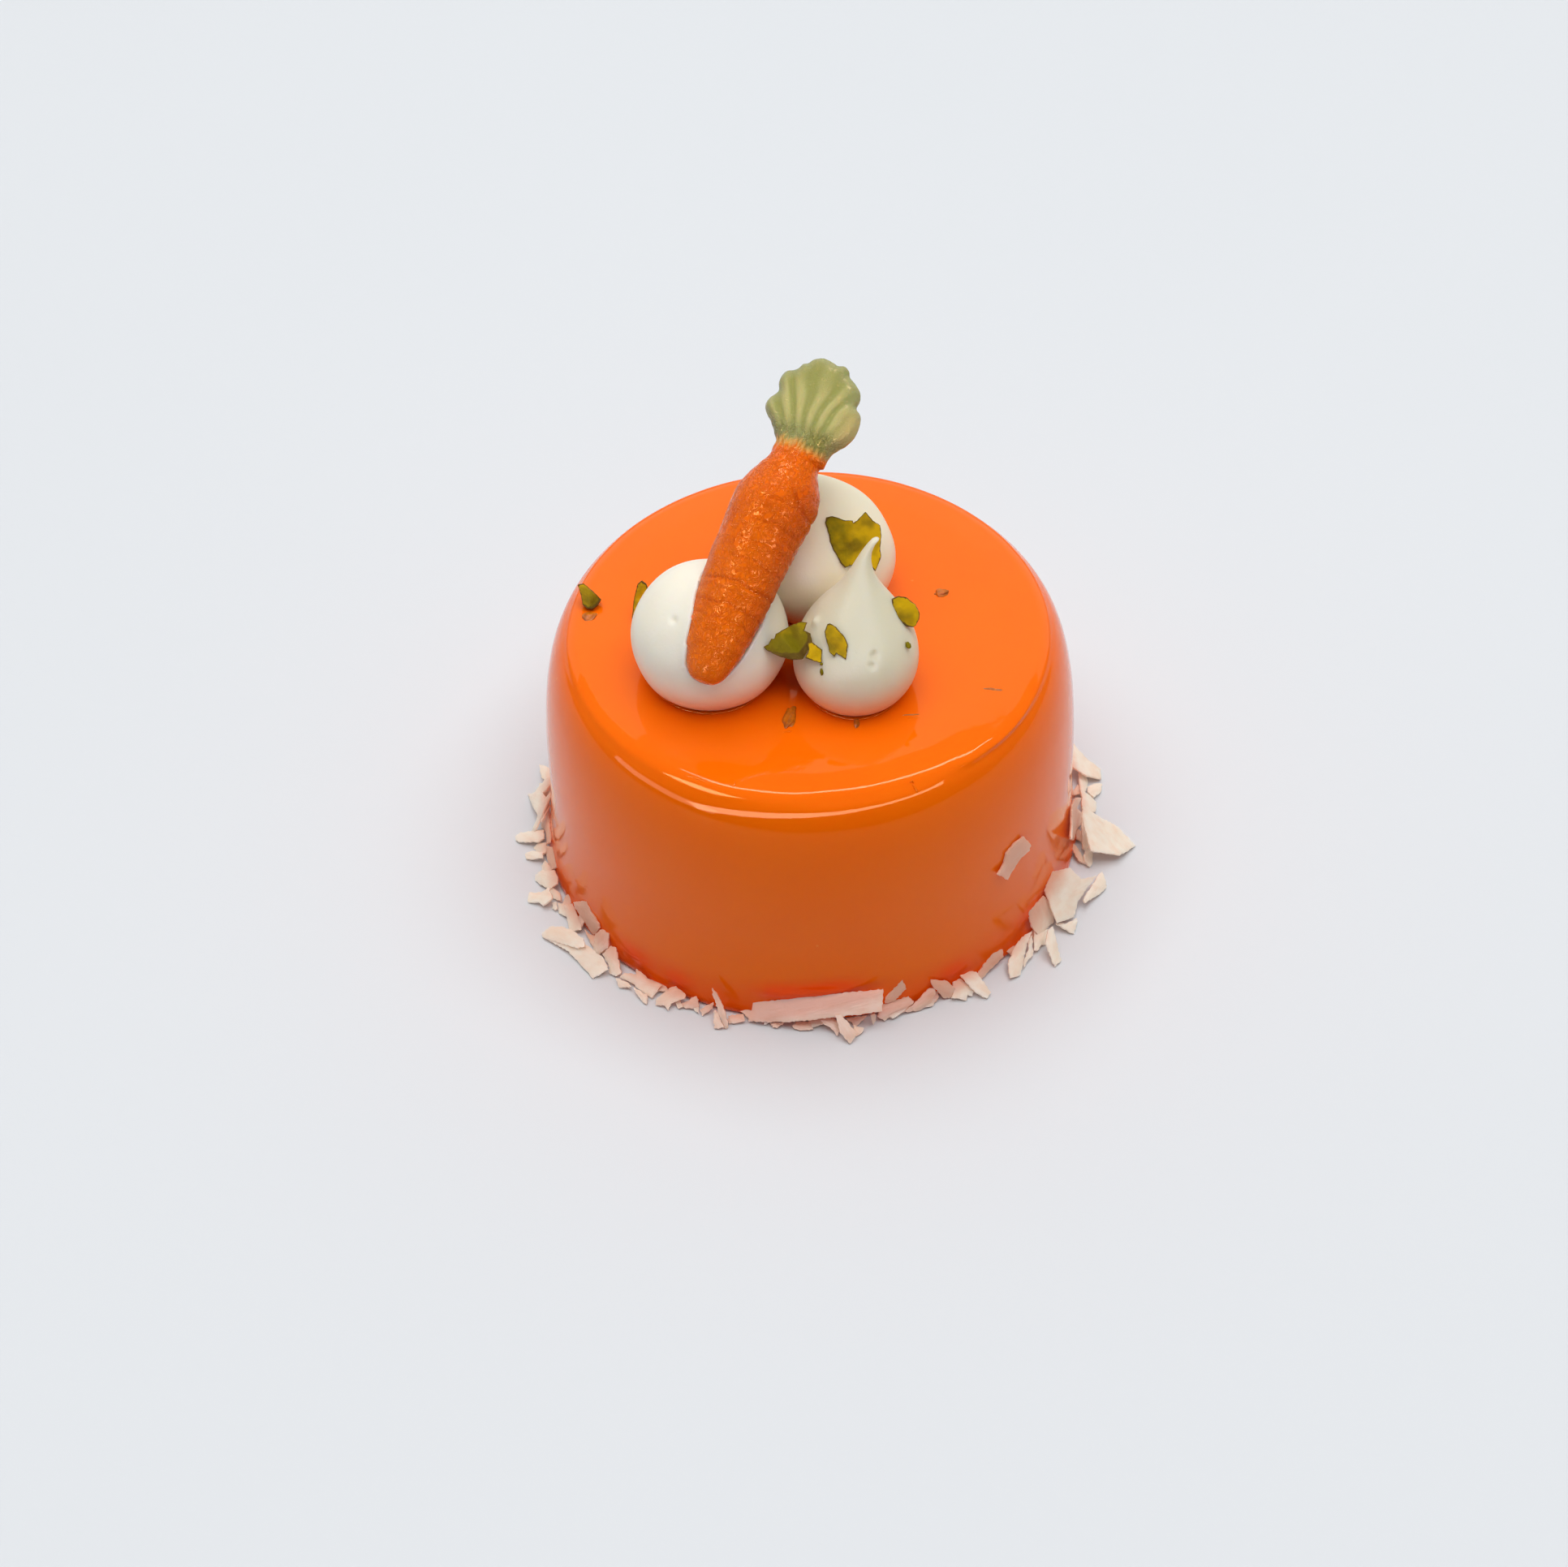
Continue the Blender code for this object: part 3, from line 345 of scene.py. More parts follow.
    (-140, 38.1, 2.2, 1, 36, ((-1.6, 0.6), (-0.8, 1.8), (0.6, 2), (1.4, 0.2), (0.4, -1.6), (-0.4, -1.8))),
    (-135.5, 38.4, 1.3, 3, 54, ((-1.8, 0), (-1.4, 1.6), (-0.6, 1.8), (2.2, -0.6), (1.8, -1.4),
        (0.8, -1.6), (-0.2, -0.6))),
    (-128, 38.5, 1.2, 4, 60, ((-2.8, -0.8), (-2.4, 0), (-0.8, 0.6), (-1.2, 1.2), (1.6, 0.6), (3.2, 0.8),
        (2.8, -1.4), (1.2, -1.2), (-0.6, -0.8))),
    (-130.5, 39.8, 0.7, 0, 62, ((-1.2, 0), (-0.8, 0.2), (0.6, 0.4), (1.6, 0.2), (0, -0.8))),
    (-125.5, 40.3, 0.8, 2, 60, ((-1.6, 0.6), (0.6, 0.6), (1.2, -0.6), (0.6, -0.6), (-0.4, -0.2))),
    (-120, 38.7, 1.1, 1, 60, ((-1.8, -0.8), (-0.6, 1.4), (0, 1.8), (1.8, 1.2), (1.8, 0.6), (1.2, 0.2),
        (0.4, -0.6), (0.4, -1.6), (-0.4, -1.2), (-1.6, -1.6))),
    (-118, 38.7, 0.6, 0, 60, ((-0.8, 0), (-0.2, 0.6), (0.6, -0.2), (0, -0.6))),
    (-116, 38.1, 0.8, 1, 60, ((-1.2, -0.4), (-0.2, 0.6), (0.4, 1.2), (1.2, 0), (0.4, -0.6), (-0.6, -0.8))),
    (-44, 36.4, 18.8, 0, 4, ((2.2, 2.2), (3.4, -0.2), (3.2, -1.2), (1.6, -1.6), (-1.2, -3.2),
        (-3.2, -0.6), (-1.6, 0.2), (-1.2, 1.6), (0.6, 2.2))),
)
# The others are scattered by a seeded rule: the ring behind the cake, then small ones all the way round
FLAKE_SEED = 7
HIDDEN_SPAN = (20, 186)
HIDDEN_FLAKES = 30
HIDDEN_LENGTHS = (3.0, 7.5)
HIDDEN_WIDTHS = (1.4, 3.0)
HIDDEN_LEANS = (8, 30, 45, 60, 72)
UNDER_FLAKES = 36
UNDER_LENGTHS = (1.8, 3.4)
UNDER_WIDTHS = (1.0, 1.8)
UNDER_LEANS = (50, 80)
UNDER_REACHES = (0.3, 0.8)
UNDER_HEIGHTS = (0.4, 0.9)
SCATTER_SPIN = 70
# Every flake
FLAKE_THICKNESS = 0.5
FLAKE_EDGE_STEP = 0.28
FLAKE_RAGGEDNESS = 0.085
FLAKE_GRID = 0.42
FLAKE_CURLS = (-0.014, 0.03)
FLAKE_TWIST = 0.015
FLAKE_WAVES = ((0.5, 0.13), (1.6, 0.05))  # scale and height
FLAKE_ROUNDING = 0.2
FLAKE_SHARPNESS = 42.0  # degrees between faces from which an edge is crisp
RESTING_HEIGHT = 0.1
SETTLE_STEP = 0.1
PRESSED_IN = 0.1
STAIN_AND_BOUNCE_REACH = (0.2, 2.2)  # flakes are stained by the glaze, with a painted orange bounce of light, up to this far from it
FRONT_SHADE_AND_BOUNCE = (-102, 34, 0.65)  # bearing, reach and strength of the painted shade and orange bounce on the flakes in front

# Every piece of pistachio
NUT_EDGE_STEP = 0.3
NUT_RAGGEDNESS = 0.035
NUT_SKIN_WIDTH = 0.3
NUT_GRID = 0.24
NUT_FACETS = 5
NUT_SLOPES = (0.16, 0.42)
NUT_SHARPNESS = 40.0

# Crumbs on the glaze: place, length, width, height, turn
CRUMBS = (
    ((17.9, 5.9, 37.05), 1.9, 1.4, 0.8, 10),
    ((-2.6, -16.9, 37.05), 3.8, 1.6, 0.8, 78),
    ((23.7, -12.4, 36.9), 3.1, 0.5, 0.3, -8),
    ((6.0, -18.2, 37.1), 1.6, 0.7, 0.6, 80),
    ((13.1, -16.8, 37.0), 2.1, 0.25, 0.2, 2),
    ((-29.0, 2.9, 36.9), 2.4, 1.7, 0.5, 28),
)
# Tiny bits of nut on the right cream
NUT_BITS = (
    ((12.7, -13.2, 46.0), 0.7, 1.1, 0.6, 20),
    ((1.6, -15.9, 45.6), 0.4, 0.4, 0.35, 0),
    ((1.6, -16.3, 44.6), 0.45, 0.75, 1.0, 5),
)

# Camera: distance from the cake's base, elevation, lens, place of the base's centre in the picture
PICTURE_WIDTH, PICTURE_HEIGHT = 1932, 1931
CAMERA_DISTANCE = 442.44
CAMERA_ELEVATION = 47.15
CAMERA_FOCAL_PIXELS = 3870.0
BASE_CENTRE_PIXEL = (999.6, 1007.3)
CAMERA_ROLL = -1.20
SENSOR_WIDTH = 36.0

# Lights, in metres: name, place, the point it faces, width, height, slant in degrees, the setting that holds
# its power, and colour. The first lights the cake and isn't mirrored in it; the others are only mirrored
WHITE, COOL = (1.0, 1.0, 1.0), (1.0, 1.0, 1.25)
LIGHTS = (
    ("light_above", (0.06, 0.1, 1.9), (0, 0, 0.03), 2.4, 2.0, 0, "top_power", WHITE),
    ("bright_wall", (0.0, 1.2, 0.82), (0, 1, 0.82), 3.0, 1.1, 0, "wall_power", WHITE),
    ("strip_back", (0.09, 0.52, 1.04), (0, 0, 0.037), 0.52, 0.15, 0, "back_power", COOL),
    ("strip_front", (0.0, -0.6, 0.40), (0, 0, 0.035), 1.6, 0.15, 18, "front_power", COOL),
    ("lamp_above", (-0.56, -0.32, 1.02), (0, 0, 0.03), 0.42, 0.42, 0, "lamp_power", WHITE),
    ("strip_left", (-1.1, -0.62, 0.27), (0, 0, 0.035), 1.1, 0.2, 0, "left_power", COOL),
)


# --- shaders --------------------------------------------------------------------------------------

def arithmetic(operation, reflected=False):
    """A method that adds the maths node of one arithmetic sign."""
    def method(self, other):
        return self.combine(operation, other, self) if reflected else self.combine(operation, self, other)

    return method


class Value:
    """One output of a shader tree; arithmetic adds Math nodes, or Vector Math for colours and vectors."""

    def __init__(self, graph, socket):
        self.graph = graph
        self.socket = socket

    def combine(self, operation, first, second):
        """The maths node for two values, of which one may be a plain number or vector."""
        sockets = [item.socket for item in (first, second) if isinstance(item, Value)]
        plain = all(socket.type == "VALUE" for socket in sockets) and not any(
            isinstance(item, (tuple, list, Vector)) for item in (first, second)
        )
        if plain:
            return self.graph.node("Math", {"operation": operation}, {0: first, 1: second})
        inputs = {0: self.graph.widened(first), 1: self.graph.widened(second)}
        return self.graph.node("VectorMath", {"operation": operation}, inputs)

    __add__, __radd__ = arithmetic("ADD"), arithmetic("ADD", reflected=True)
    __sub__, __rsub__ = arithmetic("SUBTRACT"), arithmetic("SUBTRACT", reflected=True)
    __mul__, __rmul__ = arithmetic("MULTIPLY"), arithmetic("MULTIPLY", reflected=True)

    def clamp(self):
        """The number kept between 0 and 1."""
        return self.graph.node("Clamp", {}, {0: self})

    def part(self, axis):
        """One coordinate of a vector."""
        return self.graph.node("SeparateXYZ", {}, {0: self}, output=axis)

    def step(self, low, high):
        """A smooth step from 0 at low to 1 at high."""
        settings = {"interpolation_type": "SMOOTHSTEP"}
        return self.graph.node("MapRange", settings, {0: self, 1: low, 2: high, 3: 0.0, 4: 1.0})


class Graph:
    """Adds nodes to the tree of a material or a world."""

    def __init__(self, tree):
        self.tree = tree
        tree.nodes.clear()

    @staticmethod
    def widened(item):
        """A plain number as the same number three times, for Vector Math."""
        return (item, item, item) if isinstance(item, (int, float)) else item

    def node(self, kind, settings, inputs, output=0):
        """Add a node: its type, its settings, which are set first, and values or links by socket."""
        made = self.tree.nodes.new("ShaderNode" + kind)
        for name, value in settings.items():
            setattr(made, name, value)
        for key, value in inputs.items():
            socket = made.inputs[key]
            if isinstance(value, Value):
                self.tree.links.new(value.socket, socket)
            elif socket.type == "RGBA":
                socket.default_value = (*value, 1.0)
            else:
                socket.default_value = value
        return Value(self, made.outputs[output]) if made.outputs else None

    def mix(self, factor, first, second):
        """A colour between two colours."""
        return self.node("Mix", {"data_type": "RGBA"}, {0: factor, 6: first, 7: second}, output=2)

    def coats(self, colour, *coats):
        """A colour under coats of others, each given with its mask."""
        for mask, coat in coats:
            colour = self.mix(mask, colour, coat)
        return colour

    def place(self):
        """Coordinates of the object, in millimetres."""
        return self.node("TexCoord", {}, {}, output=3) * 1000.0

    def noise(self, where, scale, detail=2.0, roughness=0.5, distortion=0.0):
        """Cloudy noise, 0 to 1."""
        inputs = {"Vector": where, "Scale": scale, "Detail": detail, "Roughness": roughness}
        return self.node("TexNoise", {}, {**inputs, "Distortion": distortion})

    def spots(self, where, scale, radius, edge):
        """Round spots: 1 outside them and 0 inside."""
        cells = self.node("TexVoronoi", {"feature": "F1"}, {"Vector": where, "Scale": scale})
        return cells.step(radius, edge)

    def attribute(self, name, output=2):
        """A value stored on the mesh: 0 colour, 1 vector, 2 number."""
        return self.node("Attribute", {"attribute_name": name}, {}, output=output)

    def bump(self, height, distance, under=None):
        """A normal from a height; the distance is in millimetres."""
        inputs = {"Height": height, "Distance": distance * MM}
        if under is not None:
            inputs["Normal"] = under
        return self.node("Bump", {}, inputs)

    def surface(self, **sockets):
        """A Principled surface as the output; names have underscores for spaces."""
        inputs = {name.replace("_", " "): value for name, value in sockets.items()}
        shader = self.node("BsdfPrincipled", {"subsurface_method": "RANDOM_WALK"}, inputs)
        self.node("OutputMaterial", {}, {0: shader})


def new_material(name):
    """An empty material and its graph."""
    material = bpy.data.materials.new(name)
    material.use_nodes = True
    return material, Graph(material.node_tree)


def glaze_material(settings):
    """Mirror glaze: deep orange, a little redder low down, with painted shade in the gap between the creams,
    fine specks and faint waviness.
    """
    material, graph = new_material("mirror_glaze")
    place = graph.place()
    away = graph.node("VectorMath", {"operation": "DISTANCE"}, {0: place, 1: CREVICE_SHADE_CENTRE}, output=1)
    colour = graph.coats(
        settings.colour,
        (graph.noise(place, 0.09, 3.0).step(0.35, 0.7) * 0.3, settings.deep_colour),
        ((1.0 - place.part(2).step(*GLAZE_FOOT)) * 0.75, settings.foot_colour),
        (graph.attribute("pool").clamp() * 0.8, settings.pool_colour),
        # painted shade: darker red round the narrow gap between the creams
        ((1.0 - away.step(*CREVICE_SHADE_REACH)) * 0.85, settings.hollow_colour),
        ((1.0 - graph.spots(place, 0.16, 0.02, 0.05)) * 0.5, settings.speck_colour),
    )
    smudge = graph.noise(place, 0.35, 4.0, 0.6)
    graph.surface(
        Base_Color=colour, Roughness=smudge.step(0.4, 0.8) * 0.02 + settings.roughness,
        Normal=graph.bump(graph.noise(place, 0.25, 2.0), 0.01),
        IOR=settings.ior, Specular_Tint=settings.tint,
        Subsurface_Weight=0.15, Subsurface_Radius=(1.0, 0.25, 0.05), Subsurface_Scale=0.002,
    )
    return material


def cream_material(settings):
    """Whipped cream: ivory, satin, faintly mottled with tiny air pits, with painted shade to the right,
    painted light behind and a painted orange bounce low down.
    """
    material, graph = new_material("whipped_cream")
    place = graph.place()
    painted_side_light_and_shade = graph.mix(place.part(1).step(*CREAM_LIGHT_BEHIND), settings.warm_colour, settings.back_colour)
    colour = graph.coats(
        settings.colour,
        (graph.noise(place, 0.12, 3.0).step(0.3, 0.75), settings.shade_colour),
        # painted shade on the right of the creams, turning to painted light on the cream behind
        (place.part(0).step(*CREAM_SHADE_RIGHT) * 0.8, painted_side_light_and_shade),
        # painted orange bounce of light from the glaze, low on each cream
        ((1.0 - place.part(2).step(*CREAM_BOUNCE_HEIGHTS)) * 0.6, settings.foot_colour),
    )
    grain = graph.noise(place, 2.2, 4.0, 0.6)
    graph.surface(
        Base_Color=colour, Roughness=grain * 0.12 + settings.roughness,
        Normal=graph.bump(graph.spots(place, 0.9, 0.0, 0.1), 0.02, under=graph.bump(grain, 0.03)),
        IOR=1.42, Subsurface_Weight=0.6, Subsurface_Radius=(1.0, 0.8, 0.55), Subsurface_Scale=0.0022,
    )
    return material


def carrot_material(settings):
    """Moulded carrot: wrinkled orange root that runs through amber streaks into a sage fan."""
    material, graph = new_material("moulded_carrot")
    place = graph.attribute("carrot_place", output=1)
    rib, rim, groove = (graph.attribute(name) for name in ("rib", "rim", "groove"))
    across, along = place.part(0), place.part(1)
    fan = along - LEAF_START - 1.0
    mottle = graph.noise(place, 0.4, 4.0, 0.6)

    # painted shade: the root darker down its right side
    painted_shade_flank = (across * 0.2).step(0.35, 1.0) * (1.0 - along.step(26.0, 31.0))
    root = graph.coats(
        settings.tip_colour,
        (along.step(2.0, 28.0), settings.root_colour),
        (mottle.step(0.4, 0.75) * 0.25, settings.root_deep_colour),
        (painted_shade_flank * 0.5, settings.root_deep_colour),
        # painted shade in the grooves
        (groove.step(0.02, 0.16) * 0.45, settings.groove_colour),
    )

    ribs = rib.step(-0.9, 0.7) * (1.0 - fan.step(7.5, 11.0) * 0.75) * 0.8
    base = (1.0 - fan.step(2.2, 5.5)) * (1.0 - across.step(3.5, 5.5))
    patch = across.step(0.5, 2.2) * (1.0 - across.step(3.6, 5.0)) * (1.0 - fan.step(1.8, 4.5))
    ochre = across.step(3.6, 6.2) * (1.0 - fan.step(6.0, 8.5))
    sage = graph.coats(
        settings.leaf_deep_colour,
        (ribs, settings.leaf_colour),
        (mottle.step(0.5, 0.75) * 0.25, settings.leaf_deep_colour),
        # painted shade along the leaf's edge
        ((1.0 - rim.step(0.4, 2.0)) * 0.6, settings.leaf_edge_colour),
        (base * 0.75, settings.leaf_base_colour),
        (patch * 0.7, settings.leaf_dark_colour),
        (ochre * 0.8, settings.ochre_colour),
    )

    uneven = graph.noise(place * (0.8, 0.3, 0.5), 1.0, 2.0)
    phase = across * STREAK_PITCH + uneven * 14.0
    streak = graph.node("Math", {"operation": "COSINE"}, {0: phase}) * 0.5 + 0.5
    amber = graph.mix(streak.step(0.3, 0.9) * 0.6, settings.amber_colour, settings.streak_colour)
    start = fan + streak * 0.25 + (uneven - 0.5) * 1.6
    end = fan - streak * 0.4 + (uneven - 0.5) * 1.2 + across.step(1.0, 2.5) * 0.8
    colour = graph.coats(root, (start.step(-0.5, 1.2), amber), (end.step(0.5, 1.9), sage))

    swirl = graph.node("TexNoise", {}, {"Vector": place, "Scale": 0.8, "Detail": 2.0}, output=1)
    wrinkle = graph.noise(place * (1.0, 0.8, 1.0) + swirl * 1.6, 1.35, 2.5, 0.6, 0.8)
    squiggle = graph.node("Math", {"operation": "ABSOLUTE"}, {0: wrinkle - 0.5})
    calm = 1.0 - fan.step(2.5, 4.0) * 0.85
    graph.surface(
        Base_Color=colour, Roughness=mottle * 0.1 + settings.roughness,
        Normal=graph.bump((1.0 - squiggle.step(0.0, 0.09)) * calm, 0.13), IOR=1.42,
        Specular_Tint=(1.0, 0.55, 0.2),
        Subsurface_Weight=0.4, Subsurface_Radius=(1.0, 0.35, 0.08), Subsurface_Scale=0.0016,
    )
    return material


def coconut_material(settings):
    """Coconut flakes: warm white with a painted glow, fibres, glaze stain with a painted orange bounce near
    the glaze, and painted shade in front.
    """
    material, graph = new_material("coconut_flake")
    grain = graph.attribute("grain", output=1)
    tone, stain = graph.attribute("tone"), graph.attribute("stain")
    fibre = graph.noise(grain * (0.35, 3.2, 1.0), 1.0, 4.0, 0.6)
    cloud = graph.noise(grain * (0.5, 0.8, 1.0), 1.0, 3.0)
    colour = graph.coats(
        settings.colour,
        (cloud.step(0.3, 0.75), settings.shade_colour),
        (tone * 0.4, settings.shade_colour),
        # glaze stain with a painted orange bounce of light close to the glaze, and painted shade on the
        # flakes in front
        ((stain + (cloud - 0.5) * 0.4).clamp(), settings.stain_colour),
    )
    graph.surface(
        Base_Color=colour, Roughness=fibre * 0.2 + settings.roughness,
        # painted glow: emission lifts the flakes' shaded sides
        Normal=graph.bump(fibre, 0.07), IOR=1.45, Emission_Color=colour, Emission_Strength=0.1,
        Subsurface_Weight=0.5, Subsurface_Radius=(1.0, 0.8, 0.65), Subsurface_Scale=0.0014,
    )
    return material


def pistachio_material(settings):
    """Broken pistachio: olive to golden flesh, streaked, with the dark purple-brown skin along its rim."""
    material, graph = new_material("pistachio")
    place = graph.place()
    rim, ripe = graph.attribute("rim"), graph.attribute("ripe")
    cloud = graph.noise(place, 0.55, 3.0, 0.6)
    patches = graph.noise(place + (7.0, 3.0, 1.0), 0.3, 2.0)
    colour = graph.coats(
        settings.green_colour,
        ((ripe * 0.75 + cloud * 0.6 - 0.2).step(0.2, 0.75), settings.yellow_colour),
        (patches.step(0.5, 0.7) * 0.7, settings.shade_colour),
        ((rim + (cloud - 0.5) * 0.5).step(0.35, 0.8), settings.skin_colour),
    )
    grain = graph.noise(place, 1.8, 5.0, 0.65)
    graph.surface(
        Base_Color=colour, Roughness=grain * 0.25 + settings.roughness, Normal=graph.bump(grain, 0.12),
        IOR=1.4, Specular_Tint=(1.0, 0.75, 0.1),
        Subsurface_Weight=0.25, Subsurface_Radius=(1.0, 0.8, 0.1), Subsurface_Scale=0.0008,
    )
    return material


def crumb_material(settings):
    """Crumbs of nut with a film of glaze over them."""
    material, graph = new_material("glazed_crumb")
    grain = graph.noise(graph.place(), 1.3, 4.0, 0.6)
    graph.surface(
        Base_Color=graph.mix(grain.step(0.35, 0.7), settings.crumb_colour, settings.crumb_shade_colour),
        Roughness=grain * 0.2 + 0.3, Normal=graph.bump(grain, 0.12), IOR=1.38,
        Subsurface_Weight=0.3, Subsurface_Radius=(1.0, 0.5, 0.2), Subsurface_Scale=0.001,
    )
    return material


def floor_material(settings):
    """A pale matt table."""
    material, graph = new_material("pale_table")
    place = graph.place()
    cloud = graph.noise(place, 0.004, 3.0)
    fine = graph.noise(place, 0.6, 4.0)
    colour = graph.mix(cloud.step(0.3, 0.7) * 0.4, settings.floor_colour, settings.floor_shade_colour)
    graph.surface(Base_Color=colour, Roughness=fine * 0.1 + 0.7, Normal=graph.bump(fine, 0.02), IOR=1.3)
    return material


# --- meshes ---------------------------------------------------------------------------------------

def new_object(name, builder, material, scale=MM):
    """Turn a finished bmesh into a smooth-shaded object; the scale takes its millimetres to metres."""
    bmesh.ops.transform(builder, matrix=Matrix.Scale(scale, 4), verts=builder.verts)
    bmesh.ops.recalc_face_normals(builder, faces=builder.faces)
    mesh = bpy.data.meshes.new(name)
    builder.to_mesh(mesh)
    builder.free()
    mesh.materials.append(material)
    mesh.shade_smooth()
    piece = bpy.data.objects.new(name, mesh)
    bpy.context.scene.collection.objects.link(piece)
    return piece


def add_attribute(piece, name, values):
    """Store one number or one vector for each vertex of a piece."""
    if isinstance(values[0], (int, float)):
        piece.data.attributes.new(name, "FLOAT", "POINT").data.foreach_set("value", values)
    else:
        parts = [part for value in values for part in value]
        piece.data.attributes.new(name, "FLOAT_VECTOR", "POINT").data.foreach_set("vector", parts)


def curve(start, start_handle, end_handle, end, steps):
    """Points along a cubic curve, both ends included."""
    points = []
    for step in range(steps + 1):
        t = step / steps
        weights = ((1 - t) ** 3, 3 * t * (1 - t) ** 2, 3 * t * t * (1 - t), t**3)
        corners = (start, start_handle, end_handle, end)
        points.append(tuple(sum(w * c[axis] for w, c in zip(weights, corners)) for axis in (0, 1)))
    return points


def turn(profile, segments):
    """Rings of vertices round the Z axis, from a profile of (radius, height) points, bottom first."""
    builder = bmesh.new()
    angles = [math.tau * step / segments for step in range(segments)]
    rings = []
    for radius, height in profile:
        spread = angles if radius > 1e-6 else [0]
        points = [(radius * math.cos(angle), radius * math.sin(angle), height) for angle in spread]
        rings.append([builder.verts.new(point) for point in points])
    for low, high in zip(rings, rings[1:]):
        for here in range(segments):
            after = (here + 1) % segments
            places = ((low, here), (low, after), (high, after), (high, here))
            builder.faces.new(list(dict.fromkeys(ring[place % len(ring)] for ring, place in places)))
    return builder


def waves(point, sizes, seed=Vector()):
    """Soft unevenness at a point, from (scale, height) pairs."""
    return sum(noise.noise(point * scale + seed) * height for scale, height in sizes)


def smooth_line(points, steps):
    """Points along a smooth line through the given ones."""
    smooth = []
    for index, (this, after) in enumerate(zip(points, points[1:])):
        before, beyond = points[max(index - 1, 0)], points[min(index + 2, len(points) - 1)]
        for step in range(steps):
            t = step / steps
            smooth.append(0.5 * (
                2 * this + (after - before) * t + (2 * before - 5 * this + 4 * after - beyond) * t * t
                + (3 * this - before - 3 * after + beyond) * t**3
            ))
    return smooth + [points[-1]]


def edge_curve():
    """The rounded edge from the wall to the top, in the plane of radius and height."""
    return curve(
        (WALL_RADIUS, FLARE_HEIGHT), (WALL_RADIUS, FLARE_HEIGHT + EDGE_RISE),
        (FLAT_RADIUS + EDGE_RUN, CAKE_HEIGHT), (FLAT_RADIUS, CAKE_HEIGHT), EDGE_STEPS,
    )


def smooth_step(value, low, high):
    """A smooth step from 0 at low to 1 at high."""
    share = min(1, max(0, (value - low) / (high - low)))
    return share * share * (3 - 2 * share)


def along_table(rows, place, column=1):
    """The value at a place along a table, from the rows on both sides of it."""
    for this, after in zip(rows, rows[1:]):
        if this[0] <= place <= after[0]:
            return this[column] + (after[column] - this[column]) * smooth_step(place, this[0], after[0])
    return rows[-1][column]


def cake_profile():
    """The cake's outline: a slightly flared wall, the edge and the top, which falls a little to the edge."""
    heights = [FLARE_HEIGHT * step / FLARE_STEPS for step in range(1, FLARE_STEPS)]
    start, rings = SHOULDER
    shoulder = [FLAT_RADIUS + (start - FLAT_RADIUS) * (step + 1) / rings for step in range(rings)]
    flat = [start * (1 - (step + 1) / FLAT_STEPS) for step in range(FLAT_STEPS)]
    wall = [(wall_radius(height), height) for height in heights]
    top = [(radius, CAKE_HEIGHT) for radius in shoulder + flat]
    profile = [(0, 0), (BASE_RADIUS - BASE_BEVEL, 0)] + wall + edge_curve() + top
    inner, outer, drop = CROWN
    return [
        (radius, height - drop * smooth_step(radius, inner, outer) * smooth_step(height, *CROWN_HEIGHTS))
        for radius, height in profile
    ]


def wall_radius(height):
    """Radius of the cake's wall at a height."""
    return WALL_RADIUS + (BASE_RADIUS - WALL_RADIUS) * max(0, 1 - height / FLARE_HEIGHT) ** 2


def stray_edge(corner, bearing, radius):
    """Move a point beside the start of the rounded edge out or in."""
    first, full, last, end = LIP_BAND
    reach = smooth_step(radius, first, full) * (1 - smooth_step(radius, last, end))
    wander = noise.noise(Vector((math.radians(bearing) * 6, 0, 0)))
    corner.co.xy *= 1 + (along_table(EDGE_STRAY, bearing) + LIP_WANDER * wander) * reach / radius


def gathered(bearing, height):
    """Thickness and strength of colour of the glaze that has gathered at a place low on the wall."""
    rise = colour = 0
    for place, middle, reach, thickness in GLAZE_POOLS:
        offset = (bearing - place) / reach
        if abs(offset) < 3:
            swelling, tint = (((height - middle) / spread) ** 2 / 2 for spread in POOL_SPREAD)
            rise += thickness * math.exp(-(offset**2) / 2 - swelling)
            colour += math.exp(-(offset**2) / 4 - tint)
    return rise, colour


def make_glaze(settings):
    """The glazed body, very slightly uneven, with soft lips round its edge and gathered glaze below."""
    builder = turn(cake_profile(), CAKE_SEGMENTS)
    builder.normal_update()
    pools = [0] * len(builder.verts)
    for index, corner in enumerate(builder.verts):
        radius, height = corner.co.xy.length, corner.co.z
        if height < 0.5:
            continue
        bearing = math.degrees(math.atan2(corner.co.y, corner.co.x))
        rise = waves(corner.co, UNEVENNESS) * min(1, height / 8)
        if height > LIP_HEIGHT and radius > LIP_BAND[0]:
            stray_edge(corner, bearing, radius)
        elif height < POOL_HEIGHT:
            swelling, pools[index] = gathered(bearing, height)
            thickness, reach = FOOT_SWELLING
            run = thickness * math.exp(-((height / reach) ** 2)) * (1 + noise.noise(corner.co * 0.3))
            rise += swelling + run
        corner.co += corner.normal * rise
    material = glaze_material(settings)
    glaze = new_object("glaze", builder, material)
    add_attribute(glaze, "pool", pools)
    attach(glaze, "root")
    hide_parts("glazed_mousse")
    make_strings(material)


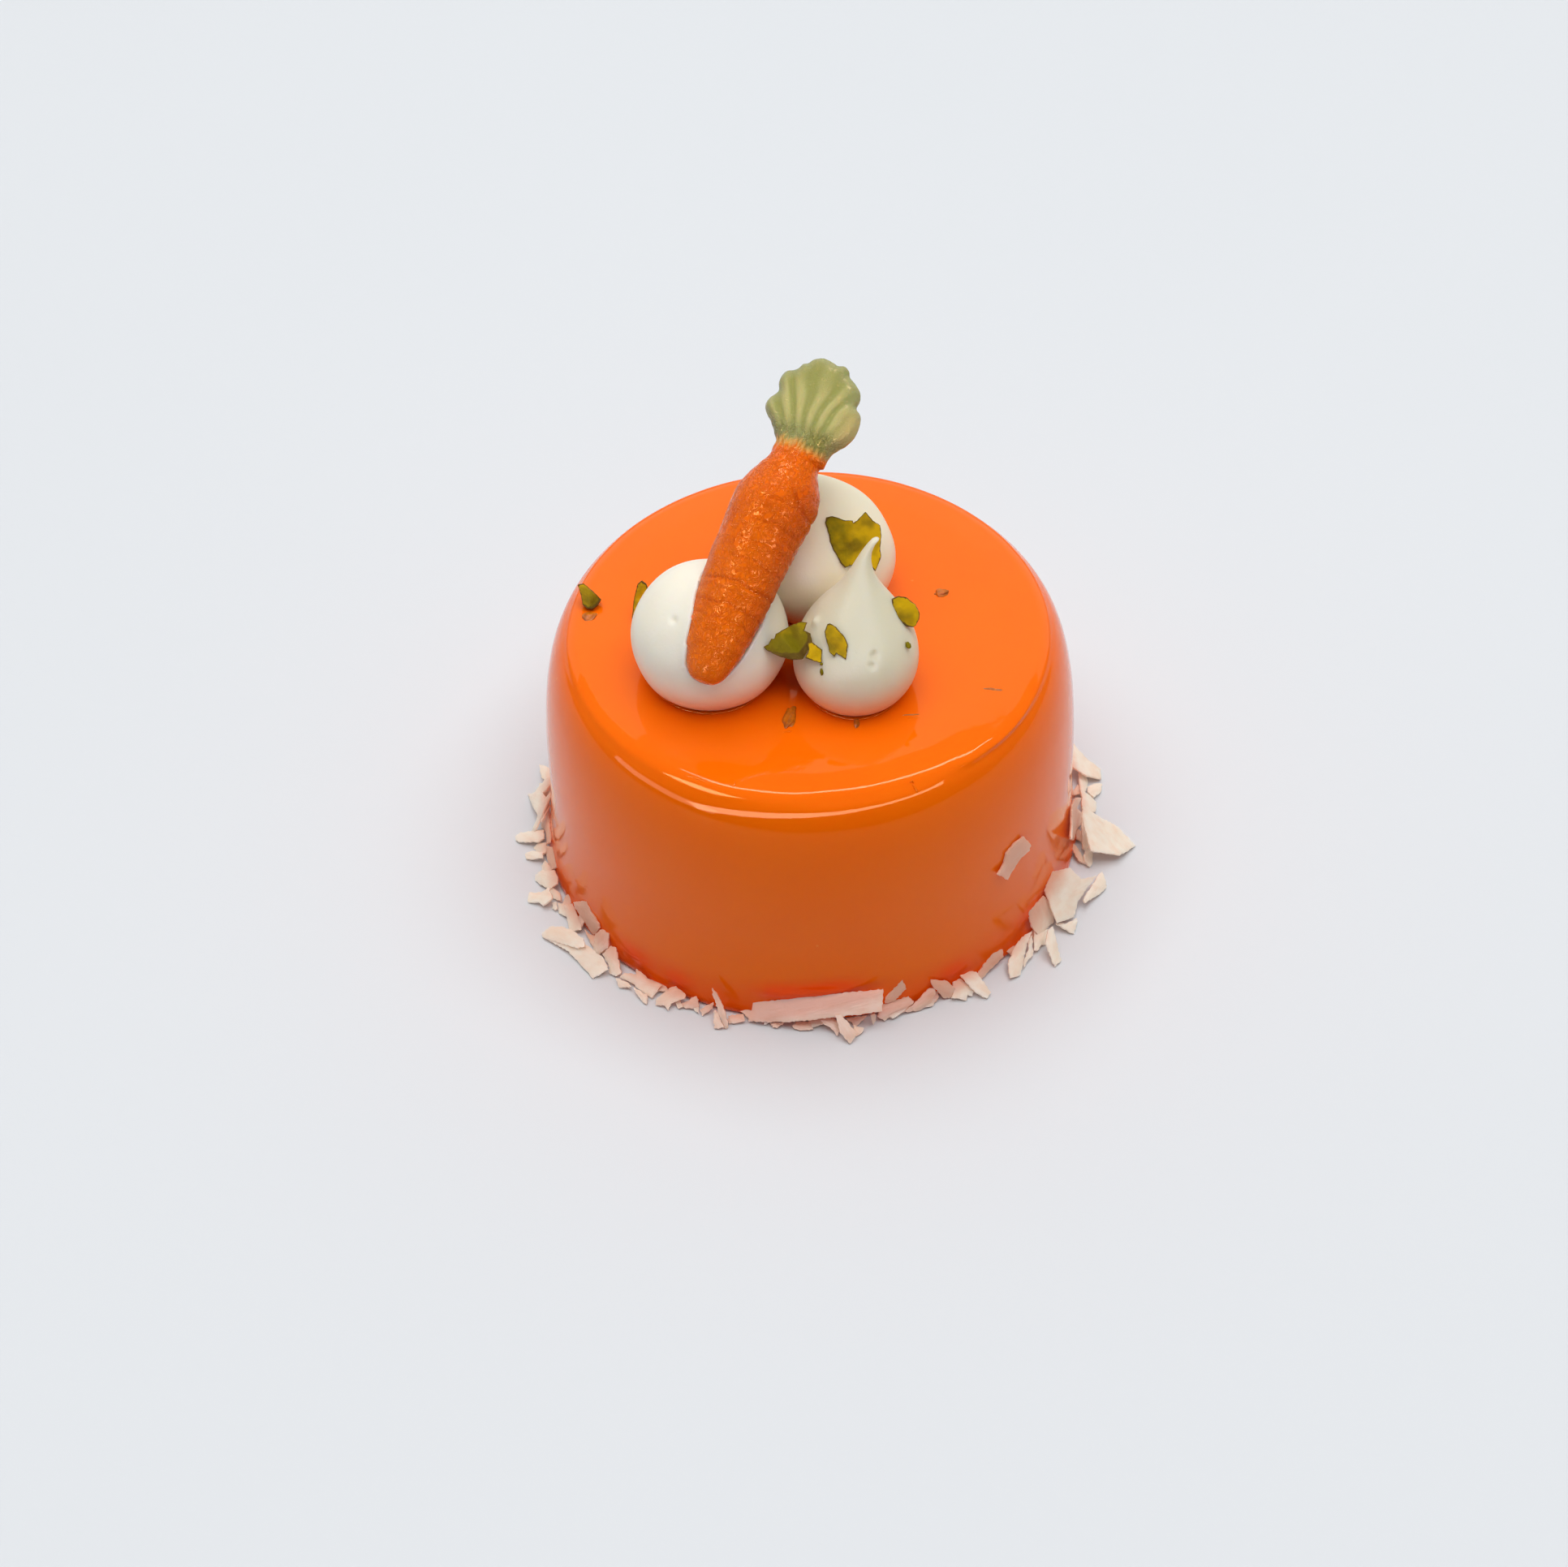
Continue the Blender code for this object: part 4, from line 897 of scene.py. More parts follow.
def add_string(builder, points, thickness):
    """A thin swelling along a line of points, tapered at both ends."""
    smooth = smooth_line([Vector(point) for point in points], STRING_STEPS)
    last = len(smooth) - 1
    rings = []
    for index, point in enumerate(smooth):
        ahead = smooth[min(index + 1, last)] - smooth[max(index - 1, 0)]
        side = ahead.cross(Vector((0, 0, 1))).normalized()
        radius = thickness * max(0.05, math.sin(math.pi * index / last)) ** 0.5
        radius *= 1 + 0.35 * noise.noise(point * 1.7)
        ring = []
        for step in range(STRING_SIDES):
            angle = math.tau * step / STRING_SIDES
            up = Vector((0, 0, math.sin(angle) * radius * STRING_FLATNESS))
            ring.append(builder.verts.new(point + side * math.cos(angle) * radius + up))
        rings.append(ring)
    for this, after in zip(rings, rings[1:]):
        for here in range(STRING_SIDES):
            beyond = (here + 1) % STRING_SIDES
            builder.faces.new((this[here], this[beyond], after[beyond], after[here]))
    builder.faces.new(rings[0][::-1])
    builder.faces.new(rings[-1])


def make_strings(material):
    """Fine strings and blisters of glaze, and the thin bead of it round the foot of each cream."""
    builder = bmesh.new()
    for thickness, *points in GLAZE_STRINGS:
        add_string(builder, points, thickness)
    waves_round, depth = BEAD_WAVES
    for sizes in KISSES.values():
        ring = []
        for step in range(BEAD_POINTS + 1):
            angle = math.tau * step / BEAD_POINTS
            reach = FOOT_SHARE * sizes["radius"] + BEAD_GAP + depth * math.sin(waves_round * angle)
            offset = Vector((math.cos(angle), math.sin(angle))) * reach
            ring.append((*(Vector(sizes["centre"]) + offset), CAKE_HEIGHT + BEAD_HEIGHT))
        add_string(builder, ring, BEAD_THICKNESS)
    strings = new_object("glaze_strings", builder, material)
    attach(strings, "root")


def inside(point, outline):
    """Whether a point lies in a closed outline."""
    odd = False
    for this, after in zip(outline, outline[1:] + outline[:1]):
        if (this.y > point.y) != (after.y > point.y):
            if point.x < (after.x - this.x) * (point.y - this.y) / (after.y - this.y) + this.x:
                odd = not odd
    return odd


def edge_distance(point, outline):
    """Distance of a point from a closed outline."""
    nearest = 1e9
    for this, after in zip(outline, outline[1:] + outline[:1]):
        side = after - this
        share = min(1, max(0, (point - this).dot(side) / max(side.length_squared, 1e-9)))
        nearest = min(nearest, (point - this - side * share).length)
    return nearest


def torn_outline(corners, draw, step_length, raggedness):
    """A closed outline through the corners, its sides torn in short uneven steps."""
    points = []
    for this, after in zip(corners, corners[1:] + corners[:1]):
        this, after = Vector(this), Vector(after)
        side = Vector((after.y - this.y, this.x - after.x)).normalized()
        steps = max(1, round((after - this).length / step_length))
        points.append(this)
        for step in range(1, steps):
            share = (step + draw.uniform(-0.3, 0.3)) / steps
            points.append(this.lerp(after, share) + side * draw.uniform(-1, 1) * raggedness)
    return points


def add_plate(builder, outline, grid, draw, place, rise_at):
    """A closed plate over an outline; rise_at gives each side's height and place puts a point in the cake.

    Returns each point of the plate with its distance from the outline, and its vertices in the same order.
    """
    low = Vector((min(point.x for point in outline), min(point.y for point in outline)))
    high = Vector((max(point.x for point in outline), max(point.y for point in outline)))
    points = list(outline)
    for row in range(math.ceil((high.y - low.y) / grid)):
        for column in range(math.ceil((high.x - low.x) / grid)):
            x = low.x + (column + 0.5 * (row % 2) + draw.uniform(-0.2, 0.2)) * grid
            point = Vector((x, low.y + (row + draw.uniform(-0.2, 0.2)) * grid))
            if inside(point, outline) and edge_distance(point, outline) > grid * 0.45:
                points.append(point)
    ring = [(here, (here + 1) % len(outline)) for here in range(len(outline))]
    flat, _, faces, *_ = delaunay_2d_cdt(points, ring, [], 1, 1e-5)
    spots = [(point, edge_distance(point, outline)) for point in flat]
    upper, lower = (
        [builder.verts.new(place(point, rise_at(point, distance, side))) for point, distance in spots]
        for side in (1, -1)
    )
    sides = {(face[here - 1], face[here]) for face in faces for here in range(len(face))}
    for face in faces:
        builder.faces.new([upper[corner] for corner in face])
        builder.faces.new([lower[corner] for corner in face][::-1])
    for this, after in sides:
        if (after, this) not in sides:
            builder.faces.new((upper[after], upper[this], lower[this], lower[after]))
    return spots * 2, upper + lower


def wall_gap(point):
    """How far a point of the cake lies out from the glazed wall."""
    return point.xy.length - wall_radius(point.z)


def settle(corners, stand):
    """Slide a flake down and in until it rests on the table or is pressed a little into the glaze."""
    slide = Vector((-math.cos(stand), -math.sin(stand), -1)) * SETTLE_STEP
    while min(corner.co.z for corner in corners) > RESTING_HEIGHT + SETTLE_STEP:
        if min(wall_gap(corner.co) for corner in corners) < -PRESSED_IN:
            break
        for corner in corners:
            corner.co += slide


def face_axes(bearing, elevation):
    """Across, uphill and outward axes of a flat piece whose face looks along a bearing and an elevation."""
    angle, tilt = math.radians(bearing), math.radians(elevation)
    across = Vector((-math.sin(angle), math.cos(angle), 0))
    normal = Vector((math.cos(angle) * math.cos(tilt), math.sin(angle) * math.cos(tilt), math.sin(tilt)))
    return across, normal.cross(across), normal


def add_flake(builder, row, marks):
    """One flake: a thin, slightly curled plate with a torn edge, stained and given a painted orange bounce
    where it is close to the glaze, and painted shade in front.
    """
    bearing, distance, height, swing, lean, shape = row
    stand = math.radians(bearing)
    centre = Vector((distance * math.cos(stand), distance * math.sin(stand), height))
    across, uphill, normal = face_axes(bearing + swing, lean)
    draw = random.Random(repr(row))
    outline = torn_outline(shape, draw, FLAKE_EDGE_STEP, FLAKE_RAGGEDNESS)
    seed = Vector([draw.uniform(0, 50) for axis in range(3)])
    curl = draw.uniform(*FLAKE_CURLS)
    twist = draw.uniform(-FLAKE_TWIST, FLAKE_TWIST)
    thickness = FLAKE_THICKNESS * draw.uniform(0.75, 1.15)
    grain = max(outline, key=lambda point: point.length).normalized()
    tone = draw.random()

    def rise_at(point, distance, side):
        rise = curl * point.dot(grain) ** 2 + twist * point.x * point.y
        rise += waves(point.to_3d(), FLAKE_WAVES, seed)
        return rise + side * thickness / 2 * (0.5 + 0.5 * min(1, distance / FLAKE_ROUNDING) ** 0.5)

    def place(point, rise):
        return centre + across * point.x + uphill * point.y + normal * rise

    spots, corners = add_plate(builder, outline, FLAKE_GRID, draw, place, rise_at)
    lift = max(0, RESTING_HEIGHT - min(corner.co.z for corner in corners))
    for corner in corners:
        corner.co.z += lift
    settle(corners, stand)
    # painted shade and orange bounce on the flakes in front; stain and painted bounce close to the glaze
    middle, reach, strength = FRONT_SHADE_AND_BOUNCE
    in_front = strength * math.exp(-(((bearing - middle) / reach) ** 2))
    for (point, distance), corner in zip(spots, corners):
        stain = 1 - smooth_step(wall_gap(corner.co), *STAIN_AND_BOUNCE_REACH) + in_front
        marks.append(((point.dot(grain), point.cross(grain), tone * 40), tone, min(1, stain)))


def chip_outline(length, width, draw):
    """Corners of a small shard with slanting ends and uneven sides."""
    left, right = -length / 2, length / 2
    slants = [draw.uniform(-0.5, 0.5) * width for end in range(2)]
    ends = [draw.uniform(0.35, 1) * width / 2 for corner in range(4)]
    belly = [draw.uniform(0.8, 1.15) * width / 2 for side in range(2)]
    middle = draw.uniform(-0.2, 0.2) * length
    return (
        (left - slants[0], -ends[0]), (middle, -belly[0]), (right - slants[1], -ends[1]),
        (right + slants[1], ends[2]), (-middle, belly[1]), (left + slants[0], ends[3]),
    )


def scattered_flakes():
    """The ring behind the cake and the small flakes under the large ones, by a seeded rule."""
    draw = random.Random(FLAKE_SEED)
    first, last = HIDDEN_SPAN
    rows = []
    for place in range(HIDDEN_FLAKES + UNDER_FLAKES):
        if place < HIDDEN_FLAKES:
            bearing = first + (last - first) * (place + draw.uniform(0.2, 0.8)) / HIDDEN_FLAKES
            length, width = draw.uniform(*HIDDEN_LENGTHS), draw.uniform(*HIDDEN_WIDTHS)
            lean = draw.choice(HIDDEN_LEANS)
            out, height = 0.4 + lean / 60, 0.9 + 1.6 * math.cos(math.radians(lean))
        else:
            bearing = 360 * (place + draw.uniform(0, 0.7)) / UNDER_FLAKES
            length, width = draw.uniform(*UNDER_LENGTHS), draw.uniform(*UNDER_WIDTHS)
            lean = draw.uniform(*UNDER_LEANS)
            out, height = draw.uniform(*UNDER_REACHES), draw.uniform(*UNDER_HEIGHTS)
        spin = Matrix.Rotation(math.radians(draw.uniform(-SCATTER_SPIN, SCATTER_SPIN)), 2)
        outline = tuple(tuple(spin @ Vector(corner)) for corner in chip_outline(length, width, draw))
        rows.append((bearing, BASE_RADIUS + out, height, 0, lean, outline))
    return tuple(rows)


def make_flakes(settings):
    """All coconut flakes: the ring at the foot and the one on the wall."""
    builder = bmesh.new()
    marks = []
    for row in FLAKES + scattered_flakes():
        add_flake(builder, row, marks)
    flakes = new_object("coconut_flakes", builder, coconut_material(settings))
    flakes.data.set_sharp_from_angle(angle=math.radians(FLAKE_SHARPNESS))
    for name, values in zip(("grain", "tone", "stain"), zip(*marks)):
        add_attribute(flakes, name, values)
    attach(flakes, "root")
    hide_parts("glazed_mousse")


def kiss_profile(radius, belly, height, point):
    """A piped kiss from its foot up: a round belly, then a dome or a flank drawn out to a small tip."""
    foot = FOOT_SHARE * radius
    swell = foot + 0.62 * (radius - foot)
    lower = curve((foot, 0), (swell, belly * 0.25), (radius, belly * 0.6), (radius, belly), BELLY_STEPS)
    rise = height - belly
    tip = TIP_RADIUS * point
    upper = curve(
        (radius, belly), (radius, belly + rise * (0.55 - 0.17 * point)),
        (radius * (0.55 - 0.44 * point), height - rise * 0.43 * point), (tip, height - 0.4 * tip),
        DOME_STEPS,
    )
    if tip:
        upper += [(tip * 0.82, height - 0.12 * tip), (tip * 0.45, height - 0.01 * tip), (0, height)]
    return [(0, 0)] + lower + upper[1:]


def root_radius(distance, ring_depth=RING_DEPTH):
    """Half width of the root at a distance from its tip, with shallow swellings between its rings."""
    if distance < ROOT_BELLY:
        radius = ROOT_RADIUS * (max(distance, 0) / ROOT_BELLY) ** ROOT_BLUNTNESS
        fade = min(1, distance / RING_FADE) * (1 - distance / ROOT_BELLY)
        return radius - ring_depth * fade * (1 + math.cos(math.tau * distance / RING_SPACING))
    share = (distance - ROOT_BELLY) / (ROOT_LENGTH - ROOT_BELLY)
    return NECK_RADIUS + (ROOT_RADIUS - NECK_RADIUS) * 0.5 * (1 + math.cos(math.pi * share))


def root_side(distance):
    """How far the root's middle lies to the right at a distance from its tip, and how much wider it is."""
    left, right = (along_table(ROOT_SIDES, distance, side) for side in (1, 2))
    return (right - left) / 2 * root_radius(distance, 0), (left + right) / 2


def carrot_place():
    """The carrot's own axes in the cake, in millimetres."""
    heading = Matrix.Rotation(math.radians(CARROT_HEADING - 90), 4, "Z")
    return Matrix.Translation(CARROT_TIP) @ heading @ Matrix.Rotation(math.radians(CARROT_TILT), 4, "X")


def press_carrot(corner, centre, place, inverse):
    """Lower a point of cream that lies in the carrot to its underside, and raise a small lip beside it."""
    local = inverse @ corner.co
    if not 0 < local.y < ROOT_LENGTH:
        return
    half = root_radius(local.y, 0)
    shift, wider = root_side(local.y)
    across, up = (local.x - shift) / (half * wider), local.z / (half * ROOT_FLATNESS)
    gap = math.hypot(across, up) - 1
    if gap < 0:
        local.z = -half * ROOT_FLATNESS * math.sqrt(max(0, 1 - across * across))
        corner.co = place @ local
    elif gap < 3 * PRESS_LIP:
        corner.co += (corner.co - centre).normalized() * PRESS_LIP * math.exp(-((gap / PRESS_LIP) ** 2))


def make_kiss(name, sizes, material):
    """One cream kiss, pressed in by the carrot, with its pits."""
    height = sizes["height"]
    builder = turn(kiss_profile(sizes["radius"], sizes["belly"], height, sizes["point"]), CREAM_SEGMENTS)
    centre = Vector((*sizes["centre"], CREAM_FLOOR))
    middle = centre + Vector((0, 0, sizes["belly"]))
    seed = Vector(sizes["centre"]).to_3d()
    scale, swell = CREAM_WAVES
    place = carrot_place()
    inverse = place.inverted()
    for corner in builder.verts:
        share = (max(0, corner.co.z) / height) ** 2
        corner.co.x += sizes["lean"][0] * share + sizes.get("hook", 0) * share**HOOK_SHARPNESS
        corner.co.y += sizes["lean"][1] * share
        fade = min(1, corner.co.z / 2) * (1 - share * 0.8)
        corner.co += corner.co.normalized() * noise.noise(corner.co * scale + seed) * swell * fade
        corner.co += centre
        for pit, radius, depth in PITS:
            distance = (corner.co - Vector(pit)).length / radius
            if distance < 4:
                corner.co -= (corner.co - middle).normalized() * depth * math.exp(-(distance**2))
        if name != "cream_right":
            press_carrot(corner, middle, place, inverse)
    kiss = new_object(f"{name}_kiss", builder, material)
    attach(kiss, "root")
    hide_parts(name)


def make_root():
    """The root along +Y from its tip, in millimetres."""
    steps = [ROOT_LENGTH * (step / ROOT_STEPS) ** ROOT_CROWDING for step in range(1, ROOT_STEPS + 1)]
    profile = [(0, 0)] + [(root_radius(distance), distance) for distance in steps]
    for step in range(1, NECK_STEPS):
        share = math.sin(math.pi / 2 * step / NECK_STEPS)
        narrowing = math.sqrt(1 - share * share)
        profile.append((NECK_RADIUS * narrowing, ROOT_LENGTH + (ROOT_END - ROOT_LENGTH) * share))
    builder = turn(profile + [(0, ROOT_END)], ROOT_SEGMENTS)
    lay_down = Matrix.Diagonal((1, 1, ROOT_FLATNESS, 1)) @ Matrix.Rotation(math.radians(-90), 4, "X")
    bmesh.ops.transform(builder, matrix=lay_down, verts=builder.verts)
    for corner in builder.verts:
        shift, wider = root_side(corner.co.y)
        corner.co.x = shift + corner.co.x * wider
        corner.co.z *= 1 - NECK_FLATTENING * smooth_step(corner.co.y, *NECK_SPAN)
    return builder


def leaf_rib(point):
    """Height of the flutes at a point of the leaf, -1 to 1; they spread from the leaf's foot."""
    across, along = point.x - LEAF_FOOT[0], point.y - LEAF_FOOT[1]
    phase = math.degrees(math.atan2(across, along)) / RIB_SPACING * math.tau
    phase += RIB_WANDER * noise.noise(Vector((point.x * 0.22, point.y * 0.22, 4)))
    return math.cos(phase) * smooth_step(math.hypot(across, along), *RIB_START)


def leaf_outline():
    """The leaf's scalloped outline as a smooth closed line."""
    return smooth_line([Vector(corner) for corner in LEAF_OUTLINE], 3)


def add_leaf(builder):
    """The fluted fan: a closed plate over its outline, thickest inside and round at its edge."""
    def rise_at(point, distance, side):
        share = min(1, distance / LEAF_ROUNDING)
        thick = LEAF_THICKNESS / 2 * (1 - LEAF_THINNING * smooth_step(point.y, *LEAF_TAPER))
        rise = thick * math.sqrt(share * (2 - share)) + FLUTE_DEPTH * share * leaf_rib(point)
        return side * max(0.2, rise)

    def place(point, rise):
        return (point.x, point.y, rise)

    add_plate(builder, leaf_outline(), LEAF_GRID, random.Random(LEAF_SEED), place, rise_at)


def carve_root(local):
    """Depth of the grooves and the fold at a point of the root."""
    wobble = noise.noise(Vector((local.x * 0.5, local.y * 0.15, 3))) * 0.5
    side = local.x / ROOT_RADIUS
    before, after = GROOVE_FADE
    line = (local.y - FOLD_POINT[1] + FOLD_SLOPE * (local.x - FOLD_POINT[0])) / FOLD_WIDTH
    depth = FOLD_DEPTH * math.exp(-(line**2) - ((local.x - FOLD_MIDDLE) / FOLD_REACH) ** 2)
    for distance, groove, reach in RINGS:
        offset = local.y - (distance - GROOVE_BOW * side * side + wobble)
        strength = smooth_step(side, -reach - before, -reach + after)
        depth += groove * strength * math.exp(-((offset / GROOVE_WIDTH) ** 2))
    return depth


def grow_skin(carrot):
    """Merge root and leaf into one closed, softened skin and return its mesh."""
    remesh = carrot.modifiers.new("skin", "REMESH")
    remesh.mode = "VOXEL"
    remesh.voxel_size = CARROT_VOXEL
    soften = carrot.modifiers.new("soften", "SMOOTH")
    soften.factor = 0.5
    soften.iterations = SOFTEN_ROUNDS
    evaluated = carrot.evaluated_get(bpy.context.evaluated_depsgraph_get())
    carrot.data = bpy.data.meshes.new_from_object(evaluated)
    carrot.modifiers.clear()
    carrot.data.shade_smooth()
    return carrot.data


def wrinkles(local):
    """Fine wrinkles of the root's skin, a little longer than wide."""
    stretched = Vector((local.x, local.y * 0.8, local.z))
    return abs(noise.noise(stretched * 1.15 + Vector((5, 0, 0)))) + 0.6 * abs(noise.noise(stretched * 2.3))


def make_carrot(settings):
    """Root and leaf grown into one skin, grooved and finely wrinkled."""
    builder = make_root()
    add_leaf(builder)
    carrot = new_object("carrot_figure", builder, carrot_material(settings), scale=1)
    skin = grow_skin(carrot)
    marks = [corner.co.copy() for corner in skin.vertices]
    normals = [corner.normal.copy() for corner in skin.vertices]
    place, edge = carrot_place(), leaf_outline()
    rise_from, full, still_full, rise_to = COLLAR
    ribs, rims, grooves = [], [], []
    for corner, local, normal in zip(skin.vertices, marks, normals):
        on_leaf = local.y > LEAF_START
        fade = min(1, max(0, local.y / 3)) * (1 - 0.8 * smooth_step(local.y, LEAF_START, LEAF_START + 4))
        groove = 0 if on_leaf else carve_root(local)
        collar = smooth_step(local.y, rise_from, full) * (1 - smooth_step(local.y, still_full, rise_to))
        streaks = STREAK_HEIGHT * math.cos(local.x * STREAK_PITCH) * collar
        relief = ROOT_SWELL * noise.noise(local * 0.2) - WRINKLE_DEPTH * wrinkles(local)
        ribs.append(leaf_rib(local) if on_leaf else 0)
        rims.append(edge_distance(local.xy, edge) if on_leaf else 5)
        grooves.append(groove)
        corner.co = place @ (local + normal * (relief * fade - groove + streaks)) * MM
    add_attribute(carrot, "carrot_place", marks)
    for name, values in (("rib", ribs), ("rim", rims), ("groove", grooves)):
        add_attribute(carrot, name, values)
    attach(carrot, "root")
    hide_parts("carrot")


def nut_facets(draw, thickness):
    """A few sloping planes that cut the face of a broken nut."""
    first = draw.uniform(0, math.tau)
    planes = []
    for step in range(NUT_FACETS):
        angle = first + math.tau * (step + draw.uniform(-0.3, 0.3)) / NUT_FACETS
        slope = draw.uniform(*NUT_SLOPES)
        offset = thickness * draw.uniform(0.5, 0.66)
        planes.append((slope * math.cos(angle), slope * math.sin(angle), offset))
    return planes


def make_pistachio(name, sizes, material):
    """One broken piece: a faceted plate with chipped edges, skin along one side."""
    across, uphill, normal = face_axes(sizes["bearing"], sizes["elevation"])
    draw = random.Random(name)
    outline = torn_outline(sizes["outline"], draw, NUT_EDGE_STEP, NUT_RAGGEDNESS)
    skin = Vector((math.cos(math.radians(sizes["skin"])), math.sin(math.radians(sizes["skin"]))))
    reach = max(point.length for point in outline)
    seed = Vector([draw.uniform(0, 30) for axis in range(3)])
    thickness = sizes["thickness"]
    planes = {side: nut_facets(draw, thickness) for side in (1, -1)}

    def rise_at(point, distance, side):
        height = min(offset - point.x * a - point.y * b for a, b, offset in planes[side])
        height = min(height, thickness * (0.3 + 0.2 * min(1, distance / 0.25) ** 0.5))
        rough = noise.noise(Vector((*point, side * 3)) * 1.1 + seed) * 0.12 * min(1, distance / 0.4)
        return side * (max(height, thickness * 0.14) + rough)

    def place(point, rise):
        return Vector(sizes["centre"]) + across * point.x + uphill * point.y + normal * rise

    builder = bmesh.new()
    spots, corners = add_plate(builder, outline, NUT_GRID, draw, place, rise_at)
    rims, ripes = [], []
    for point, distance in spots:
        facing = point.dot(skin) / reach
        width = 0.1 + sizes.get("skin_width", NUT_SKIN_WIDTH) * max(0, facing)
        width += noise.noise(Vector((*point, 0)) * 1.5 + seed) * 0.08
        rims.append(1 - smooth_step(distance, 0.3 * width, max(width, 0.05)))
        ripes.append(0.5 - 0.5 * facing + sizes.get("ripeness", 0))
    piece = new_object(f"{name}_piece", builder, material)
    piece.data.set_sharp_from_angle(angle=math.radians(NUT_SHARPNESS))
    add_attribute(piece, "rim", rims)
    add_attribute(piece, "ripe", ripes)
    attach(piece, "root")
    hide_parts(name)


def add_crumb(builder, place, length, width, height, bearing):
    """One rough little lump."""
    made = bmesh.ops.create_icosphere(builder, subdivisions=4, radius=0.5)["verts"]
    to_cake = Matrix.Translation(place) @ Matrix.Rotation(math.radians(bearing), 4, "Z")
    for corner in made:
        corner.co *= 1 + noise.noise(corner.co * 3 + Vector(place)) * 0.35
        corner.co = to_cake @ Vector((corner.co.x * length, corner.co.y * width, corner.co.z * height))


def make_crumbs(settings, nut):
    """Crumbs under a film of glaze, half sunk into it, and bare bits of nut on the cream."""
    kinds = (("nut_crumbs", CRUMBS, crumb_material(settings)), ("nut_bits", NUT_BITS, nut))
    for name, rows, material in kinds:
        builder = bmesh.new()
        for row in rows:
            add_crumb(builder, *row)
        crumbs = new_object(name, builder, material)
        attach(crumbs, "root")


# --- stage ----------------------------------------------------------------------------------------

def make_floor(settings):
    """A wide pale table."""
    builder = bmesh.new()
    bmesh.ops.create_grid(builder, x_segments=60, y_segments=60, size=settings.floor_size / 2)
    floor = new_object("table", builder, floor_material(settings), scale=1)


def add_area_light(name, place, target, width, height, slant, power, colour):
    """A soft rectangular light that faces a point."""
    light = bpy.data.lights.new(name, "AREA")
    light.shape = "RECTANGLE"
    light.size, light.size_y = width, height
    light.energy = power
    light.color = colour
    lamp = bpy.data.objects.new(name, light)
    bpy.context.scene.collection.objects.link(lamp)
    lamp.location = place
    lamp.rotation_euler = (Vector(target) - Vector(place)).to_track_quat("-Z", "Y").to_euler()
    if slant:
        lamp.rotation_euler.rotate_axis("Z", math.radians(slant))
    return lamp


def make_lights(settings):
    """The large soft light, and the lights that only the glaze and the carrot mirror."""
    for index, (*sizes, power, colour) in enumerate(LIGHTS):
        lamp = add_area_light(*sizes, getattr(settings, power), colour)
        lamp.visible_glossy = index > 0
        lamp.visible_diffuse = index == 0


def make_world(settings):
    """Soft white surroundings, dimmer towards the horizon and on the camera's side."""
    world = bpy.data.worlds.new("surroundings")
    world.use_nodes = True
    graph = Graph(world.node_tree)
    direction = graph.node("TexCoord", {}, {}, output=0)
    front = (direction.part(1) * -1.0).step(0.1, 0.7)
    height = direction.part(2).step(0.0, 0.6)
    colour = graph.mix(front, WHITE, (0.25, 0.25, 0.26)) * (height * 0.5 + 0.5)
    sky = graph.node("Background", {}, {"Color": colour, "Strength": settings.world_strength})
    graph.node("OutputWorld", {}, {0: sky})
    bpy.context.scene.world = world


def turned(first, second, angle):
    """Two axes at right angles, both turned by an angle, the first away from the second."""
    cosine, sine = math.cos(angle), math.sin(angle)
    return cosine * first - sine * second, cosine * second + sine * first


def make_camera():
    """The camera at the picture's viewing angle, aimed so that the cake's base lands on its pixel."""
    elevation = math.radians(CAMERA_ELEVATION)
    back = Vector((0, -math.cos(elevation), math.sin(elevation)))
    across = (BASE_CENTRE_PIXEL[0] - PICTURE_WIDTH / 2) / CAMERA_FOCAL_PIXELS
    down = -(BASE_CENTRE_PIXEL[1] - PICTURE_HEIGHT / 2) / CAMERA_FOCAL_PIXELS
    forward, right = -back, Vector((1, 0, 0))
    up = right.cross(forward)
    forward, right = turned(forward, right, math.atan(across))
    forward, up = turned(forward, up, math.atan2(down, math.sqrt(1 + across**2)))
    right, up = turned(right, up, -math.radians(CAMERA_ROLL))
    lens = bpy.data.cameras.new("camera")
    lens.sensor_width = SENSOR_WIDTH
    lens.lens = CAMERA_FOCAL_PIXELS / PICTURE_WIDTH * SENSOR_WIDTH
    lens.clip_start = 0.01
    camera = bpy.data.objects.new("camera", lens)
    axes = Matrix((right, up, -forward)).transposed().to_4x4()
    camera.matrix_world = Matrix.Translation(back * CAMERA_DISTANCE * MM) @ axes
    bpy.context.scene.collection.objects.link(camera)
    bpy.context.scene.camera = camera


# --- settings -------------------------------------------------------------------------------------

def colour_property(name, description, default):
    """A colour that a user can change."""
    return bpy.props.FloatVectorProperty(
        name=name, description=description, subtype="COLOR", size=3, min=0, max=1, default=default)


def roughness_property(description, default):
    """The lowest roughness of a finish."""
    return bpy.props.FloatProperty(
        name="Roughness", description=description, default=default, min=0, max=1, subtype="FACTOR")


def power_property(name, description, default):
    """The strength of a light."""
    return bpy.props.FloatProperty(name=name, description=description, default=default, min=0)


